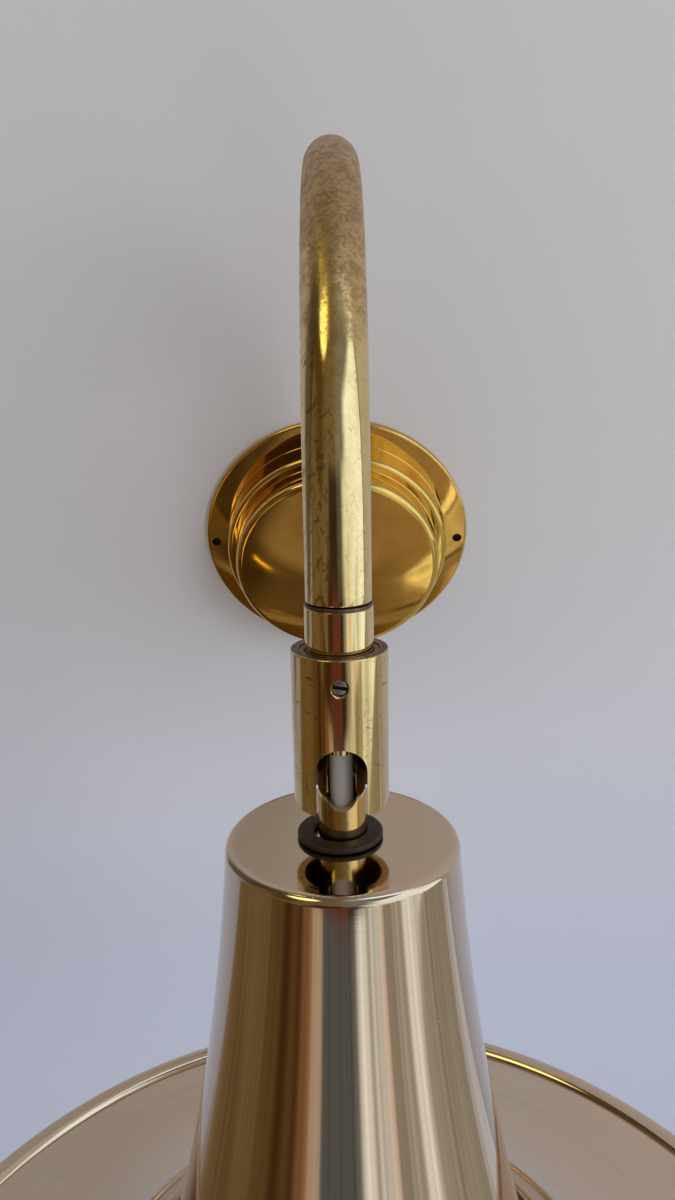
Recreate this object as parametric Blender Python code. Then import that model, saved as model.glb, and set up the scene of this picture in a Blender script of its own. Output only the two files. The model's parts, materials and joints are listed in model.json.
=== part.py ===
"""Swing arm wall sconce in brass: a wall canopy, a gooseneck arm, a swivel knuckle and a trumpet shade.

Metres, +Z up. The origin is the centre of the canopy on the wall plane (y = 0), and +Y points into the wall.
The arm swings about a vertical barrel, the knuckle swivels about the arm's front leg, and the shade tilts
forward about a cross axis in the knuckle.
"""

import math

import bmesh
import bpy
from mathutils import Vector

MM = 0.001
GAP = 0.3 * MM  # the clearance between pieces that touch or turn in each other

# Canopy: heights are measured out from the wall
FLANGE_RADIUS = 60.0 * MM
FLANGE_HEIGHT = 2.6 * MM
FLANGE_HOLE_PITCH = 55.7 * MM
FLANGE_HOLE_RADIUS = 2.1 * MM
TIER_1_RADIUS = 49.5 * MM
TIER_1_HEIGHT = 14.5 * MM
TIER_2_RADIUS = 45.0 * MM
FACE_RADIUS = 43.0 * MM
CANOPY_HEIGHT = 26.4 * MM
CANOPY_WALL = 1.3 * MM
CENTRE_HOLE_RADIUS = 5.3 * MM

# Pivot bracket on the canopy's face, with its vertical barrel
PIVOT_OUT = 44.4 * MM
NECK_RADIUS = 7.0 * MM
BARREL_RADIUS = 10.0 * MM
BARREL_BORE = 8.7 * MM
BARREL_BOTTOM = -7.6 * MM
BARREL_TOP = 32.0 * MM
BUSH_RADIUS = BARREL_BORE - GAP
BUSH_BORE = 7.0 * MM
NIPPLE_RADIUS = 5.0 * MM
NIPPLE_BORE = 3.6 * MM

# Arm tube: a rear leg on the barrel's axis, one big bend and a front leg that leans out by LEAN
TUBE_RADIUS = 6.7 * MM
TUBE_BORE = 5.5 * MM
TUBE_BOTTOM = 7.0 * MM
BEND_RADIUS = 78.0 * MM
BEND_CENTRE_UP = 101.3 * MM
LEAN = math.radians(24.3)
FRONT_LEG = 18.9 * MM

# Knuckle: distances down the front leg's axis from the end of the tube
COLLAR_RADIUS = 7.0 * MM
COLLAR_BORE = 3.7 * MM
COLLAR_END = 24.0 * MM
FERRULE_BORE = 2.8 * MM
FERRULE_RADIUS = 3.4 * MM
FERRULE_END = 32.2 * MM
GROOVE_RADIUS = 5.6 * MM
GROOVE_WIDTH = 3.8 * MM
SLEEVE_RADIUS = 10.0 * MM
SLEEVE_BORE = 8.3 * MM
SLEEVE_TOP = 9.7 * MM
SLEEVE_END = 42.9 * MM
SET_SCREW_DOWN = 15.4 * MM
PIVOT_DOWN = 33.3 * MM
SLOT_WIDTH = 10.8 * MM
CROSS_HOLE_RADIUS = 2.05 * MM
CROSS_SCREW_RADIUS = 1.75 * MM

# Head: distances below the cross axis
STEM_RADIUS = 5.0 * MM
STEM_BORE = 2.9 * MM
STEM_NIPPLE_RADIUS = 4.2 * MM
FORK_ROUNDING = 5.15 * MM
FORK_WINDOW = 7.6 * MM
WINDOW_BOTTOM = 9.6 * MM
CAP_DROP = 18.1 * MM

# Shade: drops are measured down from the flat top; angles are from the shade's axis
SHADE_TOP_RADIUS = 25.0 * MM
SHADE_EDGE = 2.0 * MM
SHADE_SHEET = 1.0 * MM
NECK_ANGLES = (math.radians(4.6), math.radians(14.0))
NECK_CURVE = 577.0 * MM
FLARE_ANGLES = (math.radians(14.0), math.radians(83.0))
FLARE_CURVE = 90.0 * MM
BRIM_LENGTH = 21.0 * MM
BEAD_RADIUS = 4.0 * MM
SHADE_HOLE_RADIUS = 4.6 * MM

# Lampholder (E27), hung under the shade's top
HOLDER_RADIUS = 18.8 * MM
HOLDER_WALL = 1.5 * MM
HOLDER_TOP = 7.1 * MM
HOLDER_SPLIT = 28.0 * MM
HOLDER_END = 66.0 * MM
SCREW_SHELL_RADIUS = 14.2 * MM

FLEX_RADIUS = 2.5 * MM

LARGE_SIDES = 44
MEDIUM_SIDES = 24
BUSH_SIDES = 18
SMALL_SIDES = 12


def material(name, colour, roughness, metallic):
    made = bpy.data.materials.new(name)
    made.use_nodes = True
    shader = made.node_tree.nodes["Principled BSDF"]
    shader.inputs["Base Color"].default_value = (*colour, 1.0)
    shader.inputs["Roughness"].default_value = roughness
    shader.inputs["Metallic"].default_value = metallic
    return made


def finish(piece, look, parent=None):
    """Gives a new object its material and its place in the scene."""
    bpy.context.scene.collection.objects.link(piece)
    piece.data.materials.append(look)
    piece.parent = parent
    if piece.type == "MESH":
        piece.data.shade_smooth()
        piece.data.set_sharp_from_angle(angle=math.radians(35))
    return piece


def empty(name, place, turn=(0.0, 0.0, 0.0), parent=None):
    made = bpy.data.objects.new(name, None)
    bpy.context.scene.collection.objects.link(made)
    made.parent = parent
    made.location = place
    made.rotation_euler = turn
    return made


def mesh_object(name, shape, look, parent):
    bmesh.ops.recalc_face_normals(shape, faces=shape.faces)
    mesh = bpy.data.meshes.new(name)
    shape.to_mesh(mesh)
    shape.free()
    return finish(bpy.data.objects.new(name, mesh), look, parent)


def turned(name, outline, look, parent, sides=MEDIUM_SIDES):
    """A piece turned about its parent's Z axis. The outline is (radius, height) points in order; it is a
    closed ring unless it starts and ends on the axis."""
    shape = bmesh.new()
    points = [shape.verts.new((radius, 0.0, height)) for radius, height in outline]
    pairs = list(zip(points, points[1:]))
    if outline[0][0] > 0:
        pairs.append((points[-1], points[0]))
    edges = [shape.edges.new(pair) for pair in pairs]
    turn = {"cent": (0, 0, 0), "axis": (0, 0, 1), "angle": math.tau}
    bmesh.ops.spin(shape, geom=points + edges, steps=sides, use_merge=True, **turn)
    bmesh.ops.remove_doubles(shape, verts=shape.verts, dist=1e-6)
    return mesh_object(name, shape, look, parent)


def ring(name, inner, outer, low, high, look, parent, sides=MEDIUM_SIDES):
    outline = [(inner, low), (inner, high), (outer, high), (outer, low)]
    return turned(name, outline, look, parent, sides)


def rod(name, radius, low, high, look, parent, sides=SMALL_SIDES):
    return turned(name, [(0.0, high), (radius, high), (radius, low), (0.0, low)], look, parent, sides)


def block(name, size, centre, look, parent):
    shape = bmesh.new()
    bmesh.ops.create_cube(shape, size=1.0)
    bmesh.ops.scale(shape, vec=size, verts=shape.verts)
    bmesh.ops.translate(shape, vec=centre, verts=shape.verts)
    return mesh_object(name, shape, look, parent)


def place(piece, location=(0.0, 0.0, 0.0), turn=(0.0, 0.0, 0.0)):
    piece.location = location
    piece.rotation_euler = turn
    return piece


def combine(piece, other, operation):
    """Cuts the other object out of the piece, or joins it on, and keeps it as a hidden helper."""
    other.hide_render = True
    other.display_type = "WIRE"
    boolean = piece.modifiers.new(other.name, "BOOLEAN")
    boolean.object = other
    boolean.operation = operation
    boolean.solver = "EXACT"


def cut(piece, other):
    combine(piece, other, "DIFFERENCE")


def join(piece, other):
    combine(piece, other, "UNION")


def arc(centre, radius, start, end, steps):
    """Points on an arc; angles in degrees, from the +radius direction towards +height."""
    angles = [math.radians(start + (end - start) * step / steps) for step in range(steps + 1)]
    return [(centre[0] + radius * math.cos(a), centre[1] + radius * math.sin(a)) for a in angles]


def flex(name, points, look, parent):
    """A round flexible lead along a smooth curve through the points."""
    curve = bpy.data.curves.new(name, "CURVE")
    curve.dimensions = "3D"
    curve.bevel_depth = FLEX_RADIUS
    curve.bevel_resolution = 2
    curve.use_fill_caps = True
    spline = curve.splines.new("POLY")
    spline.points.add(len(points) - 1)
    for target, point in zip(spline.points, points):
        target.co = (*point, 1.0)
    return finish(bpy.data.objects.new(name, curve), look, parent)


def slotted_screw(name, radius, length, look, parent):
    """A headless screw along its own Z axis, its slotted end at z = 0."""
    screw = rod(name, radius, -length, 0.0, look, parent)
    slot = block(name + "_slot", (3 * radius, 0.5 * MM, 1.2 * MM), (0, 0, 0), look, screw)
    cut(screw, slot)
    return screw


def hex_nut(name, across_flats, hole, low, high, look, parent):
    nut = rod(name, across_flats / 2 / math.cos(math.pi / 6), low, high, look, parent, 6)
    cut(nut, rod(name + "_hole", hole, low - MM, high + MM, look, parent, 20))


# ---- Canopy and pivot bracket, fixed to the wall ----------------------------------------------------


def canopy_outline():
    outer = [
        (FLANGE_RADIUS, 0.0),
        (FLANGE_RADIUS, FLANGE_HEIGHT - 1.2 * MM),
        (FLANGE_RADIUS - 1.2 * MM, FLANGE_HEIGHT),
        (TIER_1_RADIUS + 0.8 * MM, FLANGE_HEIGHT),
        (TIER_1_RADIUS, FLANGE_HEIGHT + 0.8 * MM),
    ]
    outer += arc((TIER_1_RADIUS - 1.6 * MM, TIER_1_HEIGHT - 1.6 * MM), 1.6 * MM, 0, 90, 2)
    outer += [
        (TIER_2_RADIUS, TIER_1_HEIGHT),
        (TIER_2_RADIUS, CANOPY_HEIGHT - 3.0 * MM),
        (TIER_2_RADIUS - 0.7 * MM, CANOPY_HEIGHT - 1.0 * MM),
        (FACE_RADIUS, CANOPY_HEIGHT),
        (CENTRE_HOLE_RADIUS, CANOPY_HEIGHT),
    ]
    inner = [
        (CENTRE_HOLE_RADIUS, CANOPY_HEIGHT - CANOPY_WALL),
        (FACE_RADIUS - CANOPY_WALL, CANOPY_HEIGHT - CANOPY_WALL),
        (TIER_2_RADIUS - CANOPY_WALL, CANOPY_HEIGHT - 3.0 * MM),
        (TIER_2_RADIUS - CANOPY_WALL, TIER_1_HEIGHT - CANOPY_WALL),
        (TIER_1_RADIUS - CANOPY_WALL, TIER_1_HEIGHT - CANOPY_WALL - 0.6 * MM),
        (TIER_1_RADIUS - CANOPY_WALL, 0.0),
    ]
    return outer + inner


def canopy(brass, wall_axis):
    shell = turned("canopy_shell", canopy_outline(), brass, wall_axis, LARGE_SIDES)
    for side in (-1, 1):
        hole = rod("flange_hole", FLANGE_HOLE_RADIUS, -2 * MM, 6 * MM, brass, wall_axis)
        cut(shell, place(hole, (side * FLANGE_HOLE_PITCH, 0, 0)))


def bracket(brass, wall_axis, arm_axis):
    """A round neck on the canopy's face carries an upright barrel, bored for the bushes."""
    barrel = rod("pivot_bracket", BARREL_RADIUS, BARREL_BOTTOM, BARREL_TOP, brass, arm_axis, MEDIUM_SIDES)
    neck = rod("bracket_neck", NECK_RADIUS, CANOPY_HEIGHT + GAP, PIVOT_OUT - 4 * MM, brass, wall_axis)
    join(barrel, neck)
    low, high = BARREL_BOTTOM - 2 * MM, BARREL_TOP + 2 * MM
    bore = rod("barrel_bore", BARREL_BORE, low, high, brass, arm_axis, BUSH_SIDES)
    cut(barrel, bore)
    neck_bore = rod("neck_bore", NIPPLE_RADIUS + GAP, CANOPY_HEIGHT - MM, PIVOT_OUT, brass, wall_axis)
    cut(barrel, neck_bore)
    tapped = rod("friction_screw_hole", 1.8 * MM, 6 * MM, 12 * MM, brass, arm_axis)
    cut(barrel, place(tapped, (0, 0, FRICTION_SCREW_UP), OUT_OF_WALL))


def nipple_parts(steel, plastic, wall_axis):
    """The hollow threaded nipple, with the washer, nut and bush that hold it inside the canopy."""
    inside = CANOPY_HEIGHT - CANOPY_WALL
    strap_face = inside - GAP - STRAP_THICK
    washer_face = strap_face - GAP - 1.0 * MM
    nut_face = washer_face - GAP - 4.0 * MM
    nipple_front = PIVOT_OUT - BARREL_BORE - MM
    clear = NIPPLE_RADIUS + GAP
    length = NIPPLE_END, nipple_front
    ring("bracket_nipple", NIPPLE_BORE, NIPPLE_RADIUS, *length, steel, wall_axis, SMALL_SIDES)
    ring("lock_washer", clear, 9.0 * MM, washer_face, strap_face - GAP, steel, wall_axis, SMALL_SIDES)
    hex_nut("lock_nut", NUT_ACROSS, clear, nut_face, washer_face - GAP, steel, wall_axis)
    bush_outline = [
        (FLEX_RADIUS + GAP, NIPPLE_END + 3.0 * MM),
        (NIPPLE_BORE - GAP, NIPPLE_END + 3.0 * MM),
        (NIPPLE_BORE - GAP, NIPPLE_END - GAP),
        (NIPPLE_RADIUS, NIPPLE_END - GAP),
        (NIPPLE_RADIUS, NIPPLE_END - 1.3 * MM),
        (FLEX_RADIUS + GAP, NIPPLE_END - 1.3 * MM),
    ]
    turned("insulating_bush", bush_outline, plastic, wall_axis, SMALL_SIDES)


def wiring(steel, brass, plastic, wall_axis):
    """The strap under the lock nut, with the terminal block and the earth screw on it."""
    inside = CANOPY_HEIGHT - CANOPY_WALL - GAP
    strap_middle = inside - STRAP_THICK / 2
    strap_size = (12 * MM, 58 * MM, STRAP_THICK)
    strap = block("terminal_strap", strap_size, (0, -8 * MM, strap_middle), steel, wall_axis)
    cut(strap, rod("strap_hole", NIPPLE_RADIUS + GAP, 0, 30 * MM, steel, wall_axis))
    block_top = inside - STRAP_THICK - GAP
    size = (18 * MM, 13 * MM, 11 * MM)
    terminal = block("terminal_block", size, (0, TERMINAL_UP, block_top - size[2] / 2), plastic, wall_axis)
    for side, name in ((-1, "terminal_screw_live"), (1, "terminal_screw_neutral")):
        spot = (side * 5.5 * MM, TERMINAL_UP, block_top - size[2] - 0.2 * MM)
        well = rod(name + "_well", 1.9 * MM, -MM, 6 * MM, plastic, wall_axis)
        cut(terminal, place(well, spot))
        screw = slotted_screw(name, 1.5 * MM, 4.5 * MM, brass, wall_axis)
        place(screw, (spot[0], spot[1], spot[2] + 0.6 * MM), (math.pi, 0, 0))
    fixing_hole = rod("terminal_fixing_hole", 1.6 * MM, 0, 30 * MM, plastic, wall_axis)
    cut(terminal, place(fixing_hole, (0, TERMINAL_UP, 0)))
    cut(strap, fixing_hole)
    fixing = slotted_screw("terminal_fixing_screw", 1.3 * MM, 12.4 * MM, steel, wall_axis)
    place(fixing, (0, TERMINAL_UP, block_top - size[2] + 0.3 * MM), (math.pi, 0, 0))
    earth_hole = rod("earth_hole", 2.3 * MM, 0, 30 * MM, steel, wall_axis)
    cut(strap, place(earth_hole, (0, EARTH_UP, 0)))
    shank = block_top + STRAP_THICK + GAP
    earth_outline = [
        (0.0, shank),
        (2.0 * MM, shank),
        (2.0 * MM, block_top),
        (3.6 * MM, block_top),
        (3.6 * MM, block_top - 2.2 * MM),
        (0.0, block_top - 2.2 * MM),
    ]
    earth = turned("earth_screw", earth_outline, brass, wall_axis, SMALL_SIDES)
    place(earth, (0, EARTH_UP, 0))
    slot = block("earth_screw_slot", (9 * MM, 0.8 * MM, 2 * MM), (0, 0, block_top - 2.2 * MM), brass, earth)
    cut(earth, slot)


def barrel_parts(brass, steel, plastic, arm_axis):
    """Bushes, end cap and friction screw that stay in the barrel."""
    upper_outline = [
        (BUSH_BORE, 25.6 * MM),
        (BUSH_BORE, UPPER_BUSH_TOP),
        (BARREL_RADIUS - 0.2 * MM, UPPER_BUSH_TOP),
        (BARREL_RADIUS - 0.2 * MM, BARREL_TOP + GAP),
        (BUSH_RADIUS, BARREL_TOP + GAP),
        (BUSH_RADIUS, 25.6 * MM),
    ]
    turned("upper_bush", upper_outline, plastic, arm_axis, BUSH_SIDES)
    ring("lower_bush", BUSH_BORE, BUSH_RADIUS, 9.3 * MM, 15.3 * MM, plastic, arm_axis, BUSH_SIDES)
    cap_outline = [
        (0.0, BARREL_BOTTOM + 2.2 * MM),
        (BUSH_RADIUS, BARREL_BOTTOM + 2.2 * MM),
        (BUSH_RADIUS, BARREL_BOTTOM - GAP),
        (BARREL_RADIUS, BARREL_BOTTOM - GAP),
        (BARREL_RADIUS, BARREL_BOTTOM - 1.4 * MM),
        (BARREL_RADIUS - 1.2 * MM, BARREL_BOTTOM - 2.6 * MM),
        (0.0, BARREL_BOTTOM - 2.6 * MM),
    ]
    turned("barrel_end_cap", cap_outline, brass, arm_axis, BUSH_SIDES)
    screw = slotted_screw("swing_friction_screw", 1.5 * MM, 1.2 * MM, steel, arm_axis)
    place(screw, (0, -BARREL_RADIUS, FRICTION_SCREW_UP), OUT_OF_WALL)


def canopy_flex_route():
    """From the terminal block round into the nipple and out to the barrel's axis, then up."""
    back = [(17.4, -20.6), (17.2, -18.4), (13.6, -14.8), (9.2, -12.0)]
    back += [(6.4, -8.6), (6.0, -4.6), (7.8, -1.2), (11.0, 0.0)]
    middle = [(20.0, 0.0), (30.0, 0.0), (39.2, 0.0)]
    turn = arc((39.2, 5.2), 5.2, -60, -18, 2)
    points = back + middle + turn + [(44.4, 6.5)]
    return [(0.0, -out * MM, up * MM) for out, up in points]


# ---- Arm --------------------------------------------------------------------------------------------


def arm_tube(brass, arm_axis):
    """A flat ring drawn up the rear leg, spun round the bend and drawn down the front leg. The bend turns
    through half a circle less the lean."""
    shape = bmesh.new()
    rims = []
    for radius in (TUBE_RADIUS, TUBE_BORE):
        rims.append(bmesh.ops.create_circle(shape, segments=ARM_SIDES, radius=radius)["verts"])
    bmesh.ops.translate(shape, vec=(0, 0, TUBE_BOTTOM), verts=shape.verts)
    end = []
    for side in range(ARM_SIDES):
        following = (side + 1) % ARM_SIDES
        corners = (rims[0][side], rims[0][following], rims[1][following], rims[1][side])
        end.append(shape.faces.new(corners))
    end = draw_out(shape, end, Vector((0, 0, BEND_CENTRE_UP - TUBE_BOTTOM)))
    bend = {"cent": (0, -BEND_RADIUS, BEND_CENTRE_UP), "axis": (1, 0, 0), "angle": math.pi - LEAN}
    spun = bmesh.ops.spin(shape, geom=end, steps=BEND_STEPS, **bend)["geom_last"]
    bend_end = [item for item in spun if isinstance(item, bmesh.types.BMFace)]
    draw_out(shape, bend_end, FRONT_LEG * DOWN_THE_LEG)
    bmesh.ops.delete(shape, geom=end + bend_end, context="FACES_ONLY")
    return mesh_object("arm_tube", shape, brass, arm_axis)


def draw_out(shape, faces, way):
    """Extrudes faces along a straight way, and gives back the faces at its end."""
    made = bmesh.ops.extrude_face_region(shape, geom=faces)["geom"]
    moved = [item for item in made if isinstance(item, bmesh.types.BMVert)]
    bmesh.ops.translate(shape, vec=way, verts=moved)
    return [item for item in made if isinstance(item, bmesh.types.BMFace)]


def arm_parts(brass, steel, plastic, arm_axis, leg_axis):
    ring("retaining_ring", BUSH_BORE, BUSH_RADIUS, 7.6 * MM, 9.0 * MM, steel, arm_axis, BUSH_SIDES)
    low = UPPER_BUSH_TOP + GAP
    high = low + THRUST_COLLAR_HEIGHT
    collar_outline = [
        (BUSH_BORE, low),
        (BUSH_BORE, high),
        (BARREL_RADIUS - 1.2 * MM, high),
        (BARREL_RADIUS, high - 1.2 * MM),
        (BARREL_RADIUS, low),
    ]
    collar = turned("thrust_collar", collar_outline, brass, arm_axis, MEDIUM_SIDES)
    tapped = rod("thrust_collar_hole", 1.55 * MM, 4 * MM, 12 * MM, brass, arm_axis)
    middle = (low + high) / 2
    cut(collar, place(tapped, (0, 0, middle), INTO_WALL))
    screw = slotted_screw("thrust_collar_screw", 1.25 * MM, 2.2 * MM, steel, arm_axis)
    place(screw, (0, BARREL_RADIUS - 0.3 * MM, middle), INTO_WALL)

    groove_top = -SET_SCREW_DOWN + GROOVE_WIDTH / 2
    groove_end = groove_top - GROOVE_WIDTH
    spigot_outline = [
        (COLLAR_BORE, -GAP),
        (COLLAR_RADIUS - 0.4 * MM, -GAP),
        (COLLAR_RADIUS, -GAP - 0.4 * MM),
        (COLLAR_RADIUS, groove_top),
        (GROOVE_RADIUS, groove_top),
        (GROOVE_RADIUS, groove_end),
        (COLLAR_RADIUS, groove_end),
        (COLLAR_RADIUS, -COLLAR_END),
        (COLLAR_BORE, -COLLAR_END),
    ]
    turned("arm_collar", spigot_outline, brass, leg_axis, MEDIUM_SIDES)
    ferrule_top = -COLLAR_END + 6 * MM
    ring("flex_ferrule", FERRULE_BORE, FERRULE_RADIUS, -FERRULE_END, ferrule_top, brass, leg_axis, BUSH_SIDES)


def arm_flex_route():
    """Up the tube's centre line, round the bend and down to the end of the collar."""
    rise = [(0.0, 7.0 * MM), (0.0, BEND_CENTRE_UP)]
    bend_degrees = 180 - math.degrees(LEAN)
    bend = arc((-BEND_RADIUS, BEND_CENTRE_UP), BEND_RADIUS, 0, bend_degrees, BEND_STEPS)[1:]
    leg = Vector((0.0, *bend[-1])) + DOWN_THE_LEG * (FRONT_LEG + COLLAR_END)
    return [(0.0, y, z) for y, z in rise + bend] + [tuple(leg)]


# ---- Knuckle ----------------------------------------------------------------------------------------


def knuckle(brass, steel, bronze, leg_axis):
    """A sleeve round the collar. Its front is slotted from the cross axis down, so the stem can swing out."""
    outline = [
        (SLEEVE_BORE, -SLEEVE_TOP),
        (SLEEVE_RADIUS - 0.3 * MM, -SLEEVE_TOP),
        (SLEEVE_RADIUS, -SLEEVE_TOP - 0.3 * MM),
        (SLEEVE_RADIUS, -SLEEVE_END + 0.3 * MM),
        (SLEEVE_RADIUS - 0.3 * MM, -SLEEVE_END),
        (SLEEVE_BORE, -SLEEVE_END),
    ]
    sleeve = turned("knuckle_sleeve", outline, brass, leg_axis, 32)
    arch = rod("slot_arch", SLOT_WIDTH / 2, 0, 15 * MM, brass, leg_axis, 20)
    cut(sleeve, place(arch, (0, 0, -PIVOT_DOWN), OUT_OF_WALL))
    mouth_height = SLEEVE_END - PIVOT_DOWN + 2 * MM
    mouth = block("slot_mouth", (SLOT_WIDTH, 15 * MM, mouth_height), (0, 0, 0), brass, leg_axis)
    cut(sleeve, place(mouth, (0, -7.5 * MM, -PIVOT_DOWN - mouth_height / 2)))
    cross = rod("sleeve_cross_hole", CROSS_HOLE_RADIUS, -15 * MM, 15 * MM, brass, leg_axis)
    cut(sleeve, place(cross, (0, 0, -PIVOT_DOWN), ACROSS))
    tapped = rod("set_screw_hole", SET_SCREW_RADIUS + GAP, 0, 15 * MM, brass, leg_axis)
    cut(sleeve, place(tapped, (0, 0, -SET_SCREW_DOWN), OUT_OF_WALL))

    inner, outer = COLLAR_RADIUS + GAP, SLEEVE_BORE - GAP
    bush = ring("swivel_bush", inner, outer, -22 * MM, -SLEEVE_TOP - GAP, bronze, leg_axis, BUSH_SIDES)
    cut(bush, tapped)
    screw = slotted_screw("sleeve_set_screw", SET_SCREW_RADIUS, 3.6 * MM, steel, leg_axis)
    place(screw, (0, -SLEEVE_RADIUS - 0.1 * MM, -SET_SCREW_DOWN), OUT_OF_WALL)

    for side, word in ((-1, "left"), (1, "right")):
        turn = (0.0, side * math.pi / 2, 0.0)
        pin = slotted_screw("pivot_screw_" + word, CROSS_SCREW_RADIUS, 6.0 * MM, steel, leg_axis)
        place(pin, (side * (SLEEVE_RADIUS - 0.2 * MM), 0, -PIVOT_DOWN), turn)
        name, low = "pivot_spacer_" + word, STEM_RADIUS + GAP
        spacer = ring(name, CROSS_HOLE_RADIUS, 3.4 * MM, low, low + 1.9 * MM, steel, leg_axis, SMALL_SIDES)
        place(spacer, (0, 0, -PIVOT_DOWN), turn)


# ---- Head: stem, shade and lampholder ---------------------------------------------------------------


def below_cap(drop):
    """Height, in the head's frame, of a point at this distance below the shade's flat top."""
    return -CAP_DROP - drop


def stem(brass, head_axis):
    """A rod, forked at the top for the flex, with a thinner threaded end that passes through the shade."""
    outline = [
        (0.0, FORK_ROUNDING + MM),
        (STEM_RADIUS, FORK_ROUNDING + MM),
        (STEM_RADIUS, below_cap(-GAP)),
        (STEM_NIPPLE_RADIUS, below_cap(-GAP)),
        (STEM_NIPPLE_RADIUS, below_cap(STEM_END)),
        (0.0, below_cap(STEM_END)),
    ]
    body = turned("tilt_stem", outline, brass, head_axis, 24)
    rounding = rod("fork_rounding", FORK_ROUNDING, -8 * MM, 8 * MM, brass, head_axis, 24)
    place(rounding, (0, 0, 0), ACROSS)
    keep = block("fork_length", (14 * MM, 16 * MM, 60 * MM), (0, 0, -29 * MM), brass, head_axis)
    join(rounding, keep)
    combine(body, rounding, "INTERSECT")
    window_height = 20 * MM
    window = block("fork_window", (FORK_WINDOW, 20 * MM, window_height), (0, 0, 0), brass, head_axis)
    cut(body, place(window, (0, 0, -WINDOW_BOTTOM + window_height / 2)))
    cut(body, rod("stem_bore", STEM_BORE, below_cap(STEM_END + MM), 0, brass, head_axis))
    cross = rod("stem_cross_hole", CROSS_HOLE_RADIUS, -8 * MM, 8 * MM, brass, head_axis)
    cut(body, place(cross, (0, 0, 0), ACROSS))


def curve_down(start, angles, radius, steps):
    """(radius, drop, angle) points along an arc that starts at a point and turns between two angles."""
    first, last = angles
    points = []
    for step in range(steps + 1):
        angle = first + (last - first) * step / steps
        out = start[0] + radius * (math.cos(first) - math.cos(angle))
        drop = start[1] + radius * (math.sin(angle) - math.sin(first))
        points.append((out, drop, angle))
    return points


def shade_outline():
    """The spun sheet's section: flat top, small rounded edge, conical neck, flare, brim and rolled bead."""
    outer = [(SHADE_HOLE_RADIUS, 0.0, math.pi / 2)]
    edge_angles = (math.pi / 2, NECK_ANGLES[0])
    for step in range(3):
        angle = edge_angles[0] + (edge_angles[1] - edge_angles[0]) * step / 2
        out = SHADE_TOP_RADIUS - SHADE_EDGE + SHADE_EDGE * math.cos(angle)
        outer.append((out, SHADE_EDGE - SHADE_EDGE * math.sin(angle), angle))
    outer += curve_down(outer[-1], NECK_ANGLES, NECK_CURVE, 3)[1:]
    outer += curve_down(outer[-1], FLARE_ANGLES, FLARE_CURVE, 7)[1:]
    out, drop, angle = outer[-1]
    outer.append((out + BRIM_LENGTH * math.sin(angle), drop + BRIM_LENGTH * math.cos(angle), angle))
    section = [(out, below_cap(drop)) for out, drop, angle in outer]
    crease = outer[-1]
    bead_centre = (crease[0] + 3.6 * MM, below_cap(crease[1] + 1.8 * MM))
    section += arc(bead_centre, BEAD_RADIUS, 130, -165, 7)
    inner = []
    for out, drop, angle in outer:
        moved = (out - SHADE_SHEET * math.cos(angle), below_cap(drop + SHADE_SHEET * math.sin(angle)))
        inner.append(moved)
    inner[0] = (SHADE_HOLE_RADIUS, below_cap(SHADE_SHEET))
    return section + inner[::-1]


def shade_parts(brass, fibre, steel, head_axis):
    turned("shade", shade_outline(), brass, head_axis, LARGE_SIDES)
    stem_ring = ring("stem_ring", 6.2 * MM, 9.1 * MM, below_cap(-GAP), below_cap(-1.5 * MM), fibre, head_axis)
    place(stem_ring, (-0.7 * MM, 0, 0))
    washer_high = below_cap(SHADE_SHEET + GAP)
    washer_low = washer_high - 1.2 * MM
    ring("shade_washer", SHADE_HOLE_RADIUS, 10 * MM, washer_low, washer_high, steel, head_axis, BUSH_SIDES)
    nut_high = washer_low - GAP
    hex_nut("shade_nut", NUT_ACROSS, STEM_NIPPLE_RADIUS + GAP, nut_high - 4 * MM, nut_high, steel, head_axis)


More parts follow.
